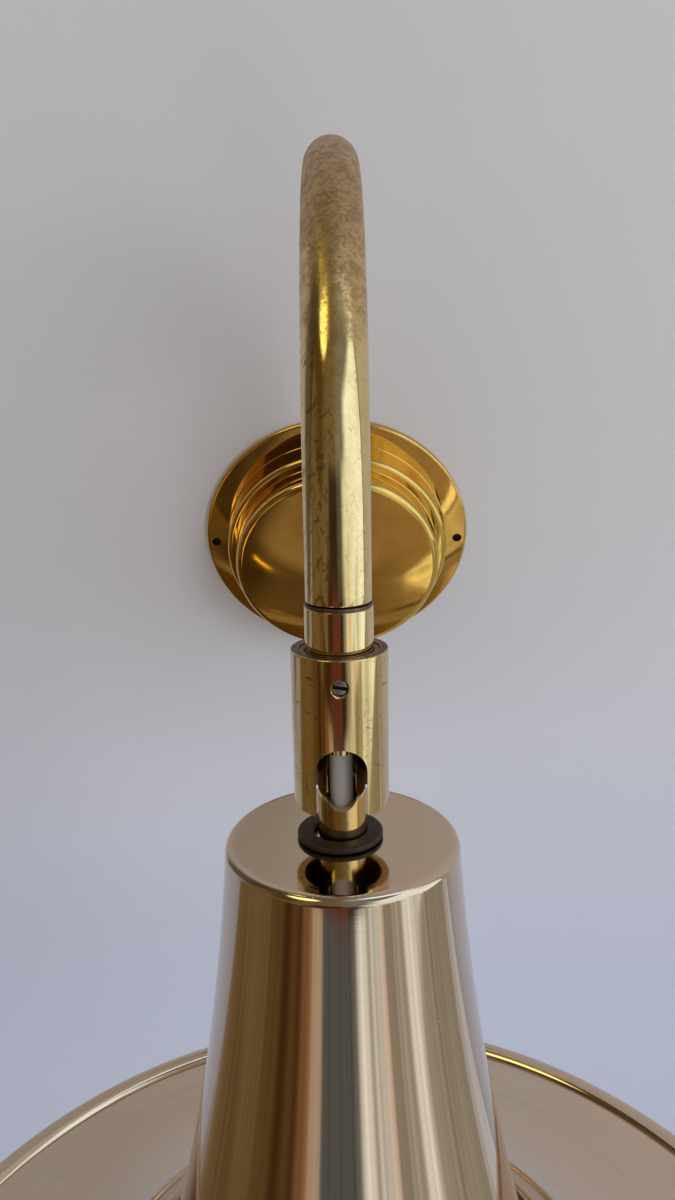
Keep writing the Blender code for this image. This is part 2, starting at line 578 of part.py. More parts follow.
def lampholder(plastic, ceramic, brass, head_axis):
    hole = STEM_NIPPLE_RADIUS + GAP
    cap_outer = [
        (hole, below_cap(HOLDER_TOP)),
        (8.0 * MM, below_cap(HOLDER_TOP)),
        (8.0 * MM, below_cap(HOLDER_TOP + 5 * MM)),
        (14.5 * MM, below_cap(HOLDER_TOP + 8 * MM)),
        (HOLDER_RADIUS, below_cap(HOLDER_TOP + 12.5 * MM)),
        (HOLDER_RADIUS, below_cap(HOLDER_SPLIT)),
    ]
    cap_inner = [
        (HOLDER_RADIUS - HOLDER_WALL, below_cap(HOLDER_SPLIT)),
        (HOLDER_RADIUS - HOLDER_WALL, below_cap(HOLDER_TOP + 13.4 * MM)),
        (14.0 * MM, below_cap(HOLDER_TOP + 9.6 * MM)),
        (hole, below_cap(HOLDER_TOP + 7.0 * MM)),
    ]
    turned("lampholder_cap", cap_outer + cap_inner, plastic, head_axis, MEDIUM_SIDES)
    skirt_outline = [
        (HOLDER_RADIUS - HOLDER_WALL, below_cap(HOLDER_SPLIT + GAP)),
        (HOLDER_RADIUS, below_cap(HOLDER_SPLIT + GAP)),
        (HOLDER_RADIUS, below_cap(HOLDER_END - 2 * MM)),
        (HOLDER_RADIUS - 1.2 * MM, below_cap(HOLDER_END)),
        (HOLDER_RADIUS - 3.4 * MM, below_cap(HOLDER_END)),
        (HOLDER_RADIUS - 3.4 * MM, below_cap(HOLDER_END - 1.5 * MM)),
        (HOLDER_RADIUS - HOLDER_WALL, below_cap(HOLDER_END - 1.5 * MM)),
    ]
    turned("lampholder_skirt", skirt_outline, plastic, head_axis, MEDIUM_SIDES)

    core_radius = HOLDER_RADIUS - HOLDER_WALL - GAP
    core_ends = below_cap(CORE_END), below_cap(CORE_TOP)
    core = rod("lampholder_core", core_radius, *core_ends, ceramic, head_axis, BUSH_SIDES)
    for side, word in ((-1, "live"), (1, "neutral")):
        spot = (side * 9 * MM, 0, 0)
        well = rod("core_well_" + word, 1.9 * MM, below_cap(CORE_TOP + 6 * MM), 0, ceramic, head_axis)
        cut(core, place(well, spot))
        screw = slotted_screw("holder_screw_" + word, 1.6 * MM, 7 * MM, brass, head_axis)
        place(screw, (spot[0], 0, below_cap(CORE_TOP - 1.5 * MM)))

    shell_top = below_cap(CORE_END + GAP)
    shell_end = below_cap(HOLDER_END - 4 * MM)
    shell_bore = SCREW_SHELL_RADIUS - 0.8 * MM
    ring("screw_shell", shell_bore, SCREW_SHELL_RADIUS, shell_end, shell_top, brass, head_axis)
    contact_outline = [
        (0.0, shell_top),
        (5.0 * MM, shell_top),
        (5.0 * MM, shell_top - 0.6 * MM),
        (2.0 * MM, shell_top - 2.6 * MM),
        (0.0, shell_top - 2.6 * MM),
    ]
    turned("centre_contact", contact_outline, brass, head_axis, SMALL_SIDES)


# ---- Values worked out from the driving dimensions --------------------------------------------------

OUT_OF_WALL = (math.pi / 2, 0.0, 0.0)  # turns +Z to point out of the wall, to the front
INTO_WALL = (-math.pi / 2, 0.0, 0.0)
ACROSS = (0.0, math.pi / 2, 0.0)
DOWN_THE_LEG = Vector((0.0, -math.sin(LEAN), -math.cos(LEAN)))
LEG_START = Vector((0.0, -BEND_RADIUS * (1 + math.cos(LEAN)), BEND_CENTRE_UP + BEND_RADIUS * math.sin(LEAN)))
LEG_END = LEG_START + FRONT_LEG * DOWN_THE_LEG

ARM_SIDES = 16
BEND_STEPS = 18
NIPPLE_END = 14.6 * MM
NUT_ACROSS = 14.0 * MM
STRAP_THICK = 1.5 * MM
TERMINAL_UP = -27.5 * MM
EARTH_UP = 15.0 * MM
UPPER_BUSH_TOP = BARREL_TOP + GAP + 1.0 * MM
FRICTION_SCREW_UP = 28.5 * MM
THRUST_COLLAR_HEIGHT = 5.0 * MM
SET_SCREW_RADIUS = 1.5 * MM
STEM_END = 15.0 * MM
CORE_TOP = 25.5 * MM
CORE_END = 37.5 * MM


def main():
    for old in list(bpy.data.objects):
        bpy.data.objects.remove(old, do_unlink=True)

    aged_brass = material("aged_brass", (0.62, 0.43, 0.16), 0.2, 1.0)
    pale_brass = material("pale_brass", (0.80, 0.62, 0.40), 0.24, 1.0)
    contact_brass = material("contact_brass", (0.78, 0.60, 0.26), 0.35, 1.0)
    zinc_steel = material("zinc_steel", (0.62, 0.62, 0.60), 0.35, 1.0)
    nylon = material("nylon", (0.85, 0.83, 0.76), 0.5, 0.0)
    black_plastic = material("black_plastic", (0.03, 0.03, 0.03), 0.4, 0.0)
    ceramic = material("ceramic", (0.85, 0.84, 0.80), 0.3, 0.0)
    brown_fibre = material("brown_fibre", (0.09, 0.05, 0.03), 0.45, 0.0)
    grey_sheath = material("grey_sheath", (0.45, 0.45, 0.46), 0.5, 0.0)

    wall_axis = empty("wall_axis", (0, 0, 0), OUT_OF_WALL)
    arm_axis = empty("arm_axis", (0, -PIVOT_OUT, 0))
    leg_axis = empty("leg_axis", LEG_END, (-LEAN, 0, 0), arm_axis)
    head_axis = empty("head_axis", (0, 0, -PIVOT_DOWN), parent=leg_axis)

    canopy(aged_brass, wall_axis)
    bracket(aged_brass, wall_axis, arm_axis)
    nipple_parts(zinc_steel, black_plastic, wall_axis)
    wiring(zinc_steel, contact_brass, nylon, wall_axis)
    barrel_parts(aged_brass, zinc_steel, nylon, arm_axis)
    flex("canopy_flex", canopy_flex_route(), grey_sheath, None)

    arm_tube(aged_brass, arm_axis)
    arm_parts(aged_brass, zinc_steel, nylon, arm_axis, leg_axis)
    flex("arm_flex", arm_flex_route(), grey_sheath, arm_axis)

    knuckle(aged_brass, zinc_steel, contact_brass, leg_axis)
    flex("knuckle_flex", [(0, 0, -COLLAR_END - GAP), (0, 0, -FERRULE_END - GAP)], grey_sheath, leg_axis)

    stem(aged_brass, head_axis)
    shade_parts(pale_brass, brown_fibre, zinc_steel, head_axis)
    lampholder(black_plastic, ceramic, contact_brass, head_axis)
    flex("head_flex", [(0, 0, -3.6 * MM), (0, 0, below_cap(CORE_TOP - 2.5 * MM))], grey_sheath, head_axis)


main()
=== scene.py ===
"""Looks of the swing arm wall sconce: fine brass pieces, a pale wall and floor, and soft light."""

import json
import math

import bmesh
import bpy
from mathutils import Matrix, Vector


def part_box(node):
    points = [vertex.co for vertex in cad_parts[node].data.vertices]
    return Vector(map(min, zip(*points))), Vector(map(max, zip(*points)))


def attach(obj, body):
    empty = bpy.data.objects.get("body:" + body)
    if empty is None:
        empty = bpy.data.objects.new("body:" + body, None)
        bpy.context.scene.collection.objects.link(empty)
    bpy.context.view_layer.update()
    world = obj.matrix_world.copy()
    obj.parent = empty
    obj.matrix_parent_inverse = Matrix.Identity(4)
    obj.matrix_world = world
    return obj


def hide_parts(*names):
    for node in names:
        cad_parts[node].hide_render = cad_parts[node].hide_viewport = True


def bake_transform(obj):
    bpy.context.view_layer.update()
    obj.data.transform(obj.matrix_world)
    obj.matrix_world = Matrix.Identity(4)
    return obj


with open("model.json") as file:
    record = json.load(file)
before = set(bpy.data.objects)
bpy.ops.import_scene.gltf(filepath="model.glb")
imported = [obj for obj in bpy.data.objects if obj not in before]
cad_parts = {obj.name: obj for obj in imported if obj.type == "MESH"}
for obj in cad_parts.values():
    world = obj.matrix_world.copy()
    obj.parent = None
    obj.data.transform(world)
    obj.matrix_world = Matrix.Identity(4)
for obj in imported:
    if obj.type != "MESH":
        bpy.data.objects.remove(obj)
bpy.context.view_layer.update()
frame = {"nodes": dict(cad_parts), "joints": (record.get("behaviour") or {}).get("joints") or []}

MM = 0.001
MICRON = 1e-6
UP = Vector((0, 0, 1))
SHARP_ANGLE = math.radians(32)
BEVEL_ANGLE = math.radians(38)

joints = {joint["name"]: joint for joint in frame["joints"]}
swing_at = Vector(joints["arm_swing"]["pos_m"])
leg_end = Vector(joints["head_swivel"]["pos_m"])
leg_up = Vector(joints["head_swivel"]["axis"]).normalized()
tilt_at = Vector(joints["shade_tilt"]["pos_m"])


def place_on(origin, up):
    """A matrix at origin whose Z points along up and whose X is the world's X."""
    side = Vector((1, 0, 0))
    return Matrix.Translation(origin) @ Matrix((side, up.cross(side), up)).transposed().to_4x4()


ON_WALL = place_on(Vector((0, 0, 0)), Vector((0, -1, 0)))
ON_BARREL = place_on(swing_at, UP)
ON_LEG = place_on(leg_end, leg_up)
ON_HEAD = place_on(tilt_at, leg_up)


# ---- Mesh helpers ----------------------------------------


def arc(centre, radius, start, end, steps):
    angles = [math.radians(start + (end - start) * step / steps) for step in range(steps + 1)]
    return [(centre[0] + radius * math.cos(a), centre[1] + radius * math.sin(a)) for a in angles]


def rounded(corners, steps=4):
    """A closed outline from (x, y, rounding) corners, each rounded off by an arc of that many millimetres."""
    points = []
    for index, (x, y, rounding) in enumerate(corners):
        here = Vector((x, y))
        if rounding <= 0:
            points.append((x, y))
            continue
        before = Vector(corners[index - 1][:2]) - here
        after = Vector(corners[(index + 1) % len(corners)][:2]) - here
        half = before.angle(after) / 2
        reach = rounding * MM / math.tan(half)
        reach = min(reach, 0.49 * before.length, 0.49 * after.length)
        radius = reach * math.tan(half)
        start = here + before.normalized() * reach
        middle = here + (before.normalized() + after.normalized()).normalized() * (radius / math.sin(half))
        spoke = start - middle
        sweep = (math.pi - 2 * half) * (1 if before.x * after.y - before.y * after.x < 0 else -1)
        for step in range(steps + 1):
            turn = Matrix.Rotation(sweep * step / steps, 2)
            points.append(tuple(middle + turn @ spoke))
    return points


def turn_outwards(shape):
    bmesh.ops.recalc_face_normals(shape, faces=shape.faces)
    if shape.calc_volume(signed=True) < 0:
        bmesh.ops.reverse_faces(shape, faces=shape.faces)


def smooth(mesh):
    mesh.shade_smooth()
    mesh.set_sharp_from_angle(angle=SHARP_ANGLE)


def link_object(name, shape, looks):
    """Links a bmesh as an object with these materials, and frees it."""
    mesh = bpy.data.meshes.new(name)
    shape.to_mesh(mesh)
    shape.free()
    for look in looks:
        mesh.materials.append(look)
    made = bpy.data.objects.new(name, mesh)
    bpy.context.scene.collection.objects.link(made)
    return made


def add_object(name, shape, matrix, look):
    """Links a closed bmesh, facing outwards, with one or several materials."""
    turn_outwards(shape)
    made = link_object(name, shape, look if isinstance(look, list) else [look])
    made.matrix_world = matrix
    smooth(made.data)
    return made


def lathe(name, outline, matrix, look, segments=96, looks_from=None):
    """Turns a closed outline of (radius, height) points about the matrix's Z axis. looks_from(here, there)
    picks the material slot of the faces between two points. The flat map lays the faces out by turn and
    by length along the outline."""
    shape = bmesh.new()
    flat = shape.loops.layers.uv.new("UVMap")
    along = [0.0]
    for here, following in zip(outline, outline[1:] + outline[:1]):
        along.append(along[-1] + math.dist(here, following))
    spokes = []
    for segment in range(segments):
        angle = math.tau * segment / segments
        spokes.append([])
        for radius, height in outline:
            if radius < 1e-9 and segment:
                spokes[-1].append(spokes[0][len(spokes[-1])])
            else:
                spot = (radius * math.sin(angle), radius * math.cos(angle), height)
                spokes[-1].append(shape.verts.new(spot))
    count = len(outline)
    for segment in range(segments):
        now, then = spokes[segment], spokes[(segment + 1) % segments]
        for index in range(count):
            corners = {}
            for step, at in ((0, index), (0, index + 1), (1, index + 1), (1, index)):
                spoke = then if step else now
                corners.setdefault(spoke[at % count], ((segment + step) / segments, along[at]))
            if len(corners) < 3:
                continue
            face = shape.faces.new(list(corners))
            if looks_from:
                face.material_index = looks_from(outline[index], outline[(index + 1) % count])
            for loop, spot in zip(face.loops, corners.values()):
                loop[flat].uv = spot
    return add_object(name, shape, matrix, look)


def skin(shape, rings):
    """Faces between each ring of vertices and the next."""
    for ring, following in zip(rings, rings[1:]):
        for index in range(len(ring)):
            beside = (index + 1) % len(ring)
            shape.faces.new((ring[index], ring[beside], following[beside], following[index]))


def rod(name, radius, heights, matrix, look, sides):
    """A round rod with a ring of vertices at each height."""
    shape = bmesh.new()
    rings = []
    for height in heights:
        rings.append([])
        for index in range(sides):
            angle = math.tau * index / sides
            rings[-1].append(shape.verts.new((radius * math.cos(angle), radius * math.sin(angle), height)))
    shape.faces.new(rings[0][::-1])
    shape.faces.new(rings[-1])
    skin(shape, rings)
    return add_object(name, shape, matrix, look)


def disc(radius, low, high, matrix, sides=48):
    """A plain cylinder to cut with."""
    return rod("cutter", radius, (low, high), matrix, [], sides)


def box(size, centre, matrix):
    """A plain box to cut with."""
    shape = bmesh.new()
    bmesh.ops.create_cube(shape, size=1.0)
    bmesh.ops.scale(shape, vec=size, verts=shape.verts)
    bmesh.ops.translate(shape, vec=centre, verts=shape.verts)
    return add_object("cutter", shape, matrix, [])


def face_outwards(piece):
    """Turns every face of a closed piece outwards, so the next cut knows its inside."""
    shape = bmesh.new()
    shape.from_mesh(piece.data)
    bmesh.ops.remove_doubles(shape, verts=shape.verts, dist=0.2 * MICRON)
    turn_outwards(shape)
    shape.to_mesh(piece.data)
    shape.free()


def bake(piece, keep_layers=False):
    """Replaces the piece's mesh with what its modifiers make of it."""
    bpy.context.view_layer.update()
    graph = bpy.context.evaluated_depsgraph_get()
    mesh = bpy.data.meshes.new_from_object(
        piece.evaluated_get(graph),
        preserve_all_data_layers=keep_layers,
        depsgraph=graph if keep_layers else None,
    )
    piece.modifiers.clear()
    old = piece.data
    piece.data = mesh
    bpy.data.meshes.remove(old)
    mesh.name = piece.name


def carve(piece, cutters, bevel=0.0, operation="DIFFERENCE"):
    """Cuts the shapes out of a piece, softens the sharp edges, and leaves a plain mesh."""
    for shape in [piece] + cutters:
        face_outwards(shape)
    for cutter in cutters:
        boolean = piece.modifiers.new("cut", "BOOLEAN")
        boolean.object = cutter
        boolean.operation = operation
        boolean.solver = "EXACT"
    if bevel:
        soften = piece.modifiers.new("soften", "BEVEL")
        soften.width = bevel
        soften.segments = 3
        soften.limit_method = "ANGLE"
        soften.angle_limit = BEVEL_ANGLE
        soften.use_clamp_overlap = True
    bake(piece)
    for cutter in cutters:
        bpy.data.objects.remove(cutter)
    smooth(piece.data)
    return piece


def turned_about(matrix, spot, axis):
    """The matrix moved to a local spot, with its Z along a local axis."""
    quaternion = Vector(axis).to_track_quat("Z", "Y")
    return matrix @ Matrix.Translation(spot) @ quaternion.to_matrix().to_4x4()


FRONT = (0, -1, 0)  # in the leg's and head's frames, away from the wall


def slotted(name, radius, length, matrix, look, slot_width, slot_depth, turn=0.0):
    """A headless screw whose slotted end lies at the matrix's origin and faces its +Z."""
    corners = [(0, 0, 0), (0, -length, 0), (radius, -length, 0), (radius, 0, 0.22)]
    screw = lathe(name, rounded(corners, 3), matrix, look, 40)
    twist = matrix @ Matrix.Rotation(turn, 4, "Z")
    slot = box((4 * radius, slot_width, 2 * slot_depth), (0, 0, 0), twist)
    screw = carve(screw, [slot], 0.06 * MM)
    screw.data.materials.append(dark_spacer_and_slot_shade)
    # Faces sunk in the slot take near-black metal: painted shade in the slot.
    for face in screw.data.polygons:
        sunk = -slot_depth * 1.2 < face.center.z < -0.12 * MM
        if sunk and face.center.xy.length < 0.93 * radius:
            face.material_index = 1
    return screw


def wear(piece, body, *nodes):
    """The piece rides on a body and stands for CAD nodes. Its large faces set its normals, so that flats and
    rods mirror straight beside a fillet."""
    weighted = piece.modifiers.new("weighted", "WEIGHTED_NORMAL")
    weighted.mode = "FACE_AREA"
    weighted.weight = 90
    weighted.keep_sharp = True
    bake(piece, keep_layers=True)
    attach(piece, body)
    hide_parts(*nodes)


# ---- Materials -------------------------------------------


class Nodes:
    """A node tree, with short calls to add and link nodes."""

    def __init__(self, tree):
        self.tree = tree

    def add(self, kind, **settings):
        """A setting is the node's own, or else the value of the input with that name."""
        node = self.tree.nodes.new(kind)
        for key, value in settings.items():
            if hasattr(node, key):
                setattr(node, key, value)
            else:
                node.inputs[key.replace("_", " ")].default_value = value
        return node

    def link(self, out, target):
        self.tree.links.new(out, target)

    def put(self, value, socket):
        """Links an output to the socket, or sets it to a number or colour."""
        if isinstance(value, (int, float)):
            socket.default_value = value
        elif isinstance(value, tuple):
            socket.default_value = (*value, 1.0)
        else:
            self.link(value, socket)

    def coordinates(self, scale=(1, 1, 1)):
        place = self.add("ShaderNodeMapping", Scale=scale)
        self.link(self.add("ShaderNodeTexCoord").outputs["Object"], place.inputs["Vector"])
        return place.outputs["Vector"]

    def noise(self, vector, scale, detail=4.0, roughness=0.55, distortion=0.0):
        noise = self.add("ShaderNodeTexNoise", Scale=scale, Detail=detail,
                         Roughness=roughness, Distortion=distortion)
        self.link(vector, noise.inputs["Vector"])
        return noise.outputs["Fac"]

    def span(self, value, low, high, out_low=0.0, out_high=1.0):
        """Maps low..high to out_low..out_high, smoothly and clamped."""
        node = self.add("ShaderNodeMapRange", interpolation_type="SMOOTHSTEP",
                        From_Min=low, From_Max=high, To_Min=out_low, To_Max=out_high)
        self.link(value, node.inputs["Value"])
        return node.outputs["Result"]

    def math(self, operation, *values):
        node = self.add("ShaderNodeMath", operation=operation)
        for socket, value in zip(node.inputs, values):
            self.put(value, socket)
        return node.outputs[0]

    def times(self, first, second):
        return self.math("MULTIPLY", first, second)

    def plus(self, first, second):
        return self.math("ADD", first, second)

    def mix(self, amount, first, second):
        node = self.add("ShaderNodeMix", data_type="RGBA")
        for index, value in ((0, amount), (6, first), (7, second)):
            self.put(value, node.inputs[index])
        return node.outputs[2]

    def axis(self, vector, index):
        split = self.add("ShaderNodeSeparateXYZ")
        self.link(vector, split.inputs[0])
        return split.outputs[index]


class Look(Nodes):
    """A material's nodes."""

    def __init__(self, name, metallic=0.0):
        self.material = bpy.data.materials.new(name)
        self.material.use_nodes = True
        super().__init__(self.material.node_tree)
        self.shader = self.tree.nodes["Principled BSDF"]
        self.shader.inputs["Metallic"].default_value = metallic

    def surface(self, tone, dull):
        self.put(tone, self.shader.inputs["Base Color"])
        self.put(dull, self.shader.inputs["Roughness"])

    def bump(self, height, strength, distance):
        node = self.add("ShaderNodeBump", Strength=strength, Distance=distance)
        self.link(height, node.inputs["Height"])
        self.link(node.outputs["Normal"], self.shader.inputs["Normal"])


AGED_BRASS = (0.80, 0.61, 0.30)
KNUCKLE_BRASS = (0.72, 0.53, 0.25)
DEEP_BRASS = (0.75, 0.48, 0.125)
STEM_BRASS = (0.80, 0.60, 0.26)
PALE_BRASS = (0.67, 0.51, 0.375)
TARNISH = (0.22, 0.12, 0.055)


def scratch_lines(made, scale, width, keep):
    """Thin wandering lines, 0 to 1, only where a second noise lets a short piece of each show."""
    path = made.noise(made.coordinates(scale), 1.0, 2, 0.5, 0.9)
    off = made.math("ABSOLUTE", made.math("SUBTRACT", path, 0.5))
    line = made.span(off, 0.0, width, 1.0, 0.0)
    part = made.span(made.noise(made.coordinates(), 150, 2), keep, keep + 0.03)
    return made.times(line, part)


def polished_brass(name, colour, tarnish=0.3, roughness=0.06, scratches=0.5):
    """Old polished brass: a slight change of tone, small brown spots, fine dark scratches."""
    made = Look(name, metallic=1.0)
    spots = made.coordinates()
    cloud = made.noise(spots, 90, 3)
    fine = made.noise(spots, 1300, 5, 0.65)
    spot = made.span(fine, 0.66 - 0.07 * tarnish, 0.74 - 0.06 * tarnish)
    spot = made.times(spot, made.span(cloud, 0.45, 0.62))
    scratch = scratch_lines(made, (330, 330, 420), 0.014, 0.505)
    marks = made.math("MAXIMUM", made.times(spot, min(1.0, tarnish * 1.5)),
                      made.times(scratch, scratches))
    tone = made.mix(made.span(cloud, 0.3, 0.7), colour, tuple(0.88 * part for part in colour))
    tone = made.mix(marks, tone, TARNISH)
    made.surface(tone, made.math("MULTIPLY_ADD", marks, 0.25, roughness))
    waves = made.noise(made.coordinates((500, 500, 60)), 1.0, 2)
    relief = made.plus(made.times(waves, 0.5), made.times(marks, -0.3))
    made.bump(relief, 0.07, 0.0001)
    return made.material


def plain_metal(name, colour, roughness=0.3, grain=900.0):
    made = Look(name, metallic=1.0)
    fine = made.noise(made.coordinates(), grain, 4)
    tone = made.mix(made.span(fine, 0.35, 0.7), colour, tuple(0.8 * part for part in colour))
    made.surface(tone, made.span(fine, 0.3, 0.7, roughness * 0.8, roughness * 1.3))
    made.bump(fine, 0.15, 0.0001)
    return made.material


def moulded(name, colour, roughness=0.45, grain=1500.0, sheen=0.0):
    made = Look(name)
    spots = made.coordinates()
    fine = made.noise(spots, grain, 3)
    broad = made.noise(spots, grain / 12, 2)
    tone = made.mix(made.span(broad, 0.3, 0.7), colour, tuple(0.95 * part for part in colour))
    made.surface(tone, made.span(fine, 0.3, 0.7, roughness * 0.85, roughness * 1.2))
    made.shader.inputs["Sheen Weight"].default_value = sheen
    made.bump(fine, 0.2, 0.0001)
    return made.material


def brushed_shade(name):
    """Pale brass spun on a lathe: fine rings round the axis, soft patches of wear, a few small dings,
    dented by a bump and painted pale as highlights.
    """
    made = Look(name, metallic=1.0)
    rings = made.noise(made.coordinates((14, 14, 3000)), 1.0, 3, 0.6)
    patches = made.noise(made.coordinates((30, 30, 14)), 1.0, 3)
    worn = made.span(patches, 0.46, 0.62)
    cells = made.add("ShaderNodeTexVoronoi", feature="F1")
    made.link(made.coordinates((75, 75, 48)), cells.inputs["Vector"])
    ding_glint = made.span(cells.outputs["Distance"], 0.028, 0.05, 1.0, 0.0)
    tone = made.mix(worn, PALE_BRASS, (0.66, 0.53, 0.38))
    tone = made.mix(made.times(made.span(rings, 0.45, 0.75), 0.22), tone, (0.5, 0.40, 0.28))
    # The dings are painted near-white: painted highlights where the sheet is dented.
    tone = made.mix(made.times(ding_glint, 0.8), tone, (0.86, 0.82, 0.76))
    dull = made.times(worn, made.span(rings, 0.35, 0.75, 0.02, 0.16))
    dull = made.plus(made.plus(dull, 0.045), made.times(ding_glint, 0.3))
    made.surface(tone, dull)
    relief = made.plus(made.times(rings, 0.25), made.times(ding_glint, -1.5))
    made.bump(relief, 0.04, 0.0002)
    return made.material


def tarnished_arm(name):
    """The arm's brass: bright low down, mottled brown over the bend and darker towards its top, with brown
    streaks down one side.
    """
    made = Look(name, metallic=1.0)
    spots = made.coordinates()
    ragged = made.times(made.noise(spots, 130, 3), 0.03)
    height = made.plus(made.axis(spots, 2), ragged)
    high = made.span(height, ARCH_MOTTLE_LOW, ARCH_MOTTLE_HIGH)
    top = made.span(height, ARCH_MOTTLE_HIGH - 0.004, ARCH_TOP)
    grain = made.noise(spots, 1500, 5, 0.7, 0.3)
    middle = made.noise(spots, 420, 4, 0.62, 0.8)
    mottle = made.span(made.plus(grain, made.times(middle, 0.7)), 0.76, 0.98)
    mottle = made.times(mottle, made.times(high, 0.75))
    left = made.span(made.axis(spots, 0), 0.003, -0.0035)
    streak = made.noise(made.coordinates((520, 520, 90)), 1.0, 5, 0.68, 1.4)
    streak = made.times(made.span(streak, 0.53, 0.62), left)
    streak = made.times(streak, made.math("SUBTRACT", 1.0, made.times(high, 0.7)))
    pit = made.times(made.span(made.noise(spots, 1900, 4, 0.6), 0.63, 0.70),
                    made.span(made.noise(spots, 160, 2), 0.48, 0.60))
    hair = scratch_lines(made, (420, 420, 150), 0.010, 0.50)
    dirt = made.math("MAXIMUM", mottle, made.times(streak, 0.95))
    dirt = made.math("MAXIMUM", dirt, made.times(made.math("MAXIMUM", pit, hair), 0.7))
    tone = made.mix(made.span(middle, 0.35, 0.65), AGED_BRASS, (0.72, 0.54, 0.25))
    tone = made.mix(made.times(high, 0.40), tone, (0.62, 0.34, 0.09))
    tone = made.mix(made.times(top, 0.50), tone, (0.40, 0.25, 0.16))
    tone = made.mix(made.times(dirt, 0.75), tone, (0.24, 0.13, 0.05))
    dull = made.plus(made.times(dirt, 0.22), made.times(high, 0.13))
    dull = made.plus(made.plus(dull, made.times(top, 0.22)), 0.055)
    made.surface(tone, dull)
    relief = made.plus(made.times(middle, 0.25), made.times(dirt, -0.5))
    made.bump(relief, 0.07, 0.0001)
    return made.material


bend_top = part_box("arm_tube")[1].z
ARCH_MOTTLE_LOW = bend_top - 0.015 - swing_at.z
ARCH_MOTTLE_HIGH = bend_top - 0.003 - swing_at.z
ARCH_TOP = bend_top + 0.010 - swing_at.z

arm_brass = tarnished_arm("arm_brass")
collar_brass = polished_brass("collar_brass", AGED_BRASS, 0.55, 0.05, 1.0)
knuckle_brass = polished_brass("knuckle_brass", KNUCKLE_BRASS, 0.6, 0.06, 1.0)
canopy_brass = polished_brass("canopy_brass", DEEP_BRASS, 0.15, 0.045, 0.2)
stem_brass = polished_brass("stem_brass", STEM_BRASS, 0.3, 0.08, 0.4)
shade_brass = brushed_shade("shade_brass")
edge_oxide = plain_metal("edge_oxide", (0.20, 0.13, 0.10), 0.42)
# Dull brass, darkened as painted shade in the sleeve's bore.
dull_bore_and_painted_shade = plain_metal("dull_bore_and_painted_shade", (0.26, 0.17, 0.075), 0.42)
# Near-black metal: painted shade in the screw slots, and the pivot spacers' dark colour deepened as painted
# shade.
dark_spacer_and_slot_shade = plain_metal("dark_spacer_and_slot_shade", (0.05, 0.035, 0.028), 0.5)
white_lacquer = moulded("white_lacquer", (0.82, 0.81, 0.78), 0.38, 700.0)
zinc_steel = plain_metal("zinc_steel", (0.60, 0.60, 0.58), 0.28)
dark_steel = plain_metal("dark_steel", (0.52, 0.48, 0.42), 0.26)
bronze = plain_metal("bronze", (0.22, 0.15, 0.11), 0.35)
contact_brass = plain_metal("contact_brass", (0.78, 0.60, 0.28), 0.3)
fibre = moulded("brown_fibre", (0.026, 0.010, 0.006), 0.5, 900.0)
nylon = moulded("nylon", (0.82, 0.80, 0.73), 0.5)
bakelite = moulded("black_plastic", (0.018, 0.017, 0.016), 0.28, 600.0)
ceramic = moulded("ceramic", (0.84, 0.83, 0.79), 0.22, 400.0)
grey_sheath = moulded("grey_sheath", (0.56, 0.53, 0.54), 0.42, 1200.0, 0.1)


# ---- Canopy, bracket and barrel (base) -------------------

canopy_low, canopy_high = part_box("canopy_shell")
FLANGE = canopy_high.x
DEPTH = -canopy_low.y
WALL = 1.3 * MM
FLANGE_HEIGHT = 2.6 * MM
TIER_1 = (49.5 * MM, 14.5 * MM)
TIER_2 = 45 * MM
HOLE_PITCH = 55.7 * MM
HOLE_RADIUS = 2.1 * MM
CENTRE_HOLE = 5.3 * MM


def canopy():
    corners = [
        (FLANGE, 0.05 * MM, 0.3), (FLANGE, FLANGE_HEIGHT, 1.1),
        (TIER_1[0] + 0.3 * MM, FLANGE_HEIGHT - 0.3 * MM, 0.4), (TIER_1[0], TIER_1[1], 2.2),
        (TIER_2, TIER_1[1] - 0.25 * MM, 0.4), (TIER_2, DEPTH, 3.0), (CENTRE_HOLE, DEPTH, 0.2),
        (CENTRE_HOLE, DEPTH - WALL, 0.2), (TIER_2 - WALL, DEPTH - WALL, 1.6),
        (TIER_2 - WALL, TIER_1[1] - WALL, 0.8), (TIER_1[0] - WALL, TIER_1[1] - WALL, 1.0),
        (TIER_1[0] - WALL, 0.05 * MM, 0.4),
    ]
    shell = lathe("canopy", rounded(corners, 7), ON_WALL, canopy_brass, 176)
    holes = []
    for side in (-1, 1):
        spot = (side * HOLE_PITCH, 0, 0)
        holes.append(disc(HOLE_RADIUS, -2 * MM, 8 * MM, ON_WALL @ Matrix.Translation(spot), 40))
    return carve(shell, holes, 0.3 * MM)


wear(canopy(), "base", "canopy_shell")

barrel_low, barrel_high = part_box("pivot_bracket")
BARREL_RADIUS = barrel_high.x
BARREL_BORE = 8.7 * MM
SPIGOT_RADIUS = 8.4 * MM
LEG_HOLE = 7 * MM
FRICTION_SCREW_UP = 28.5 * MM


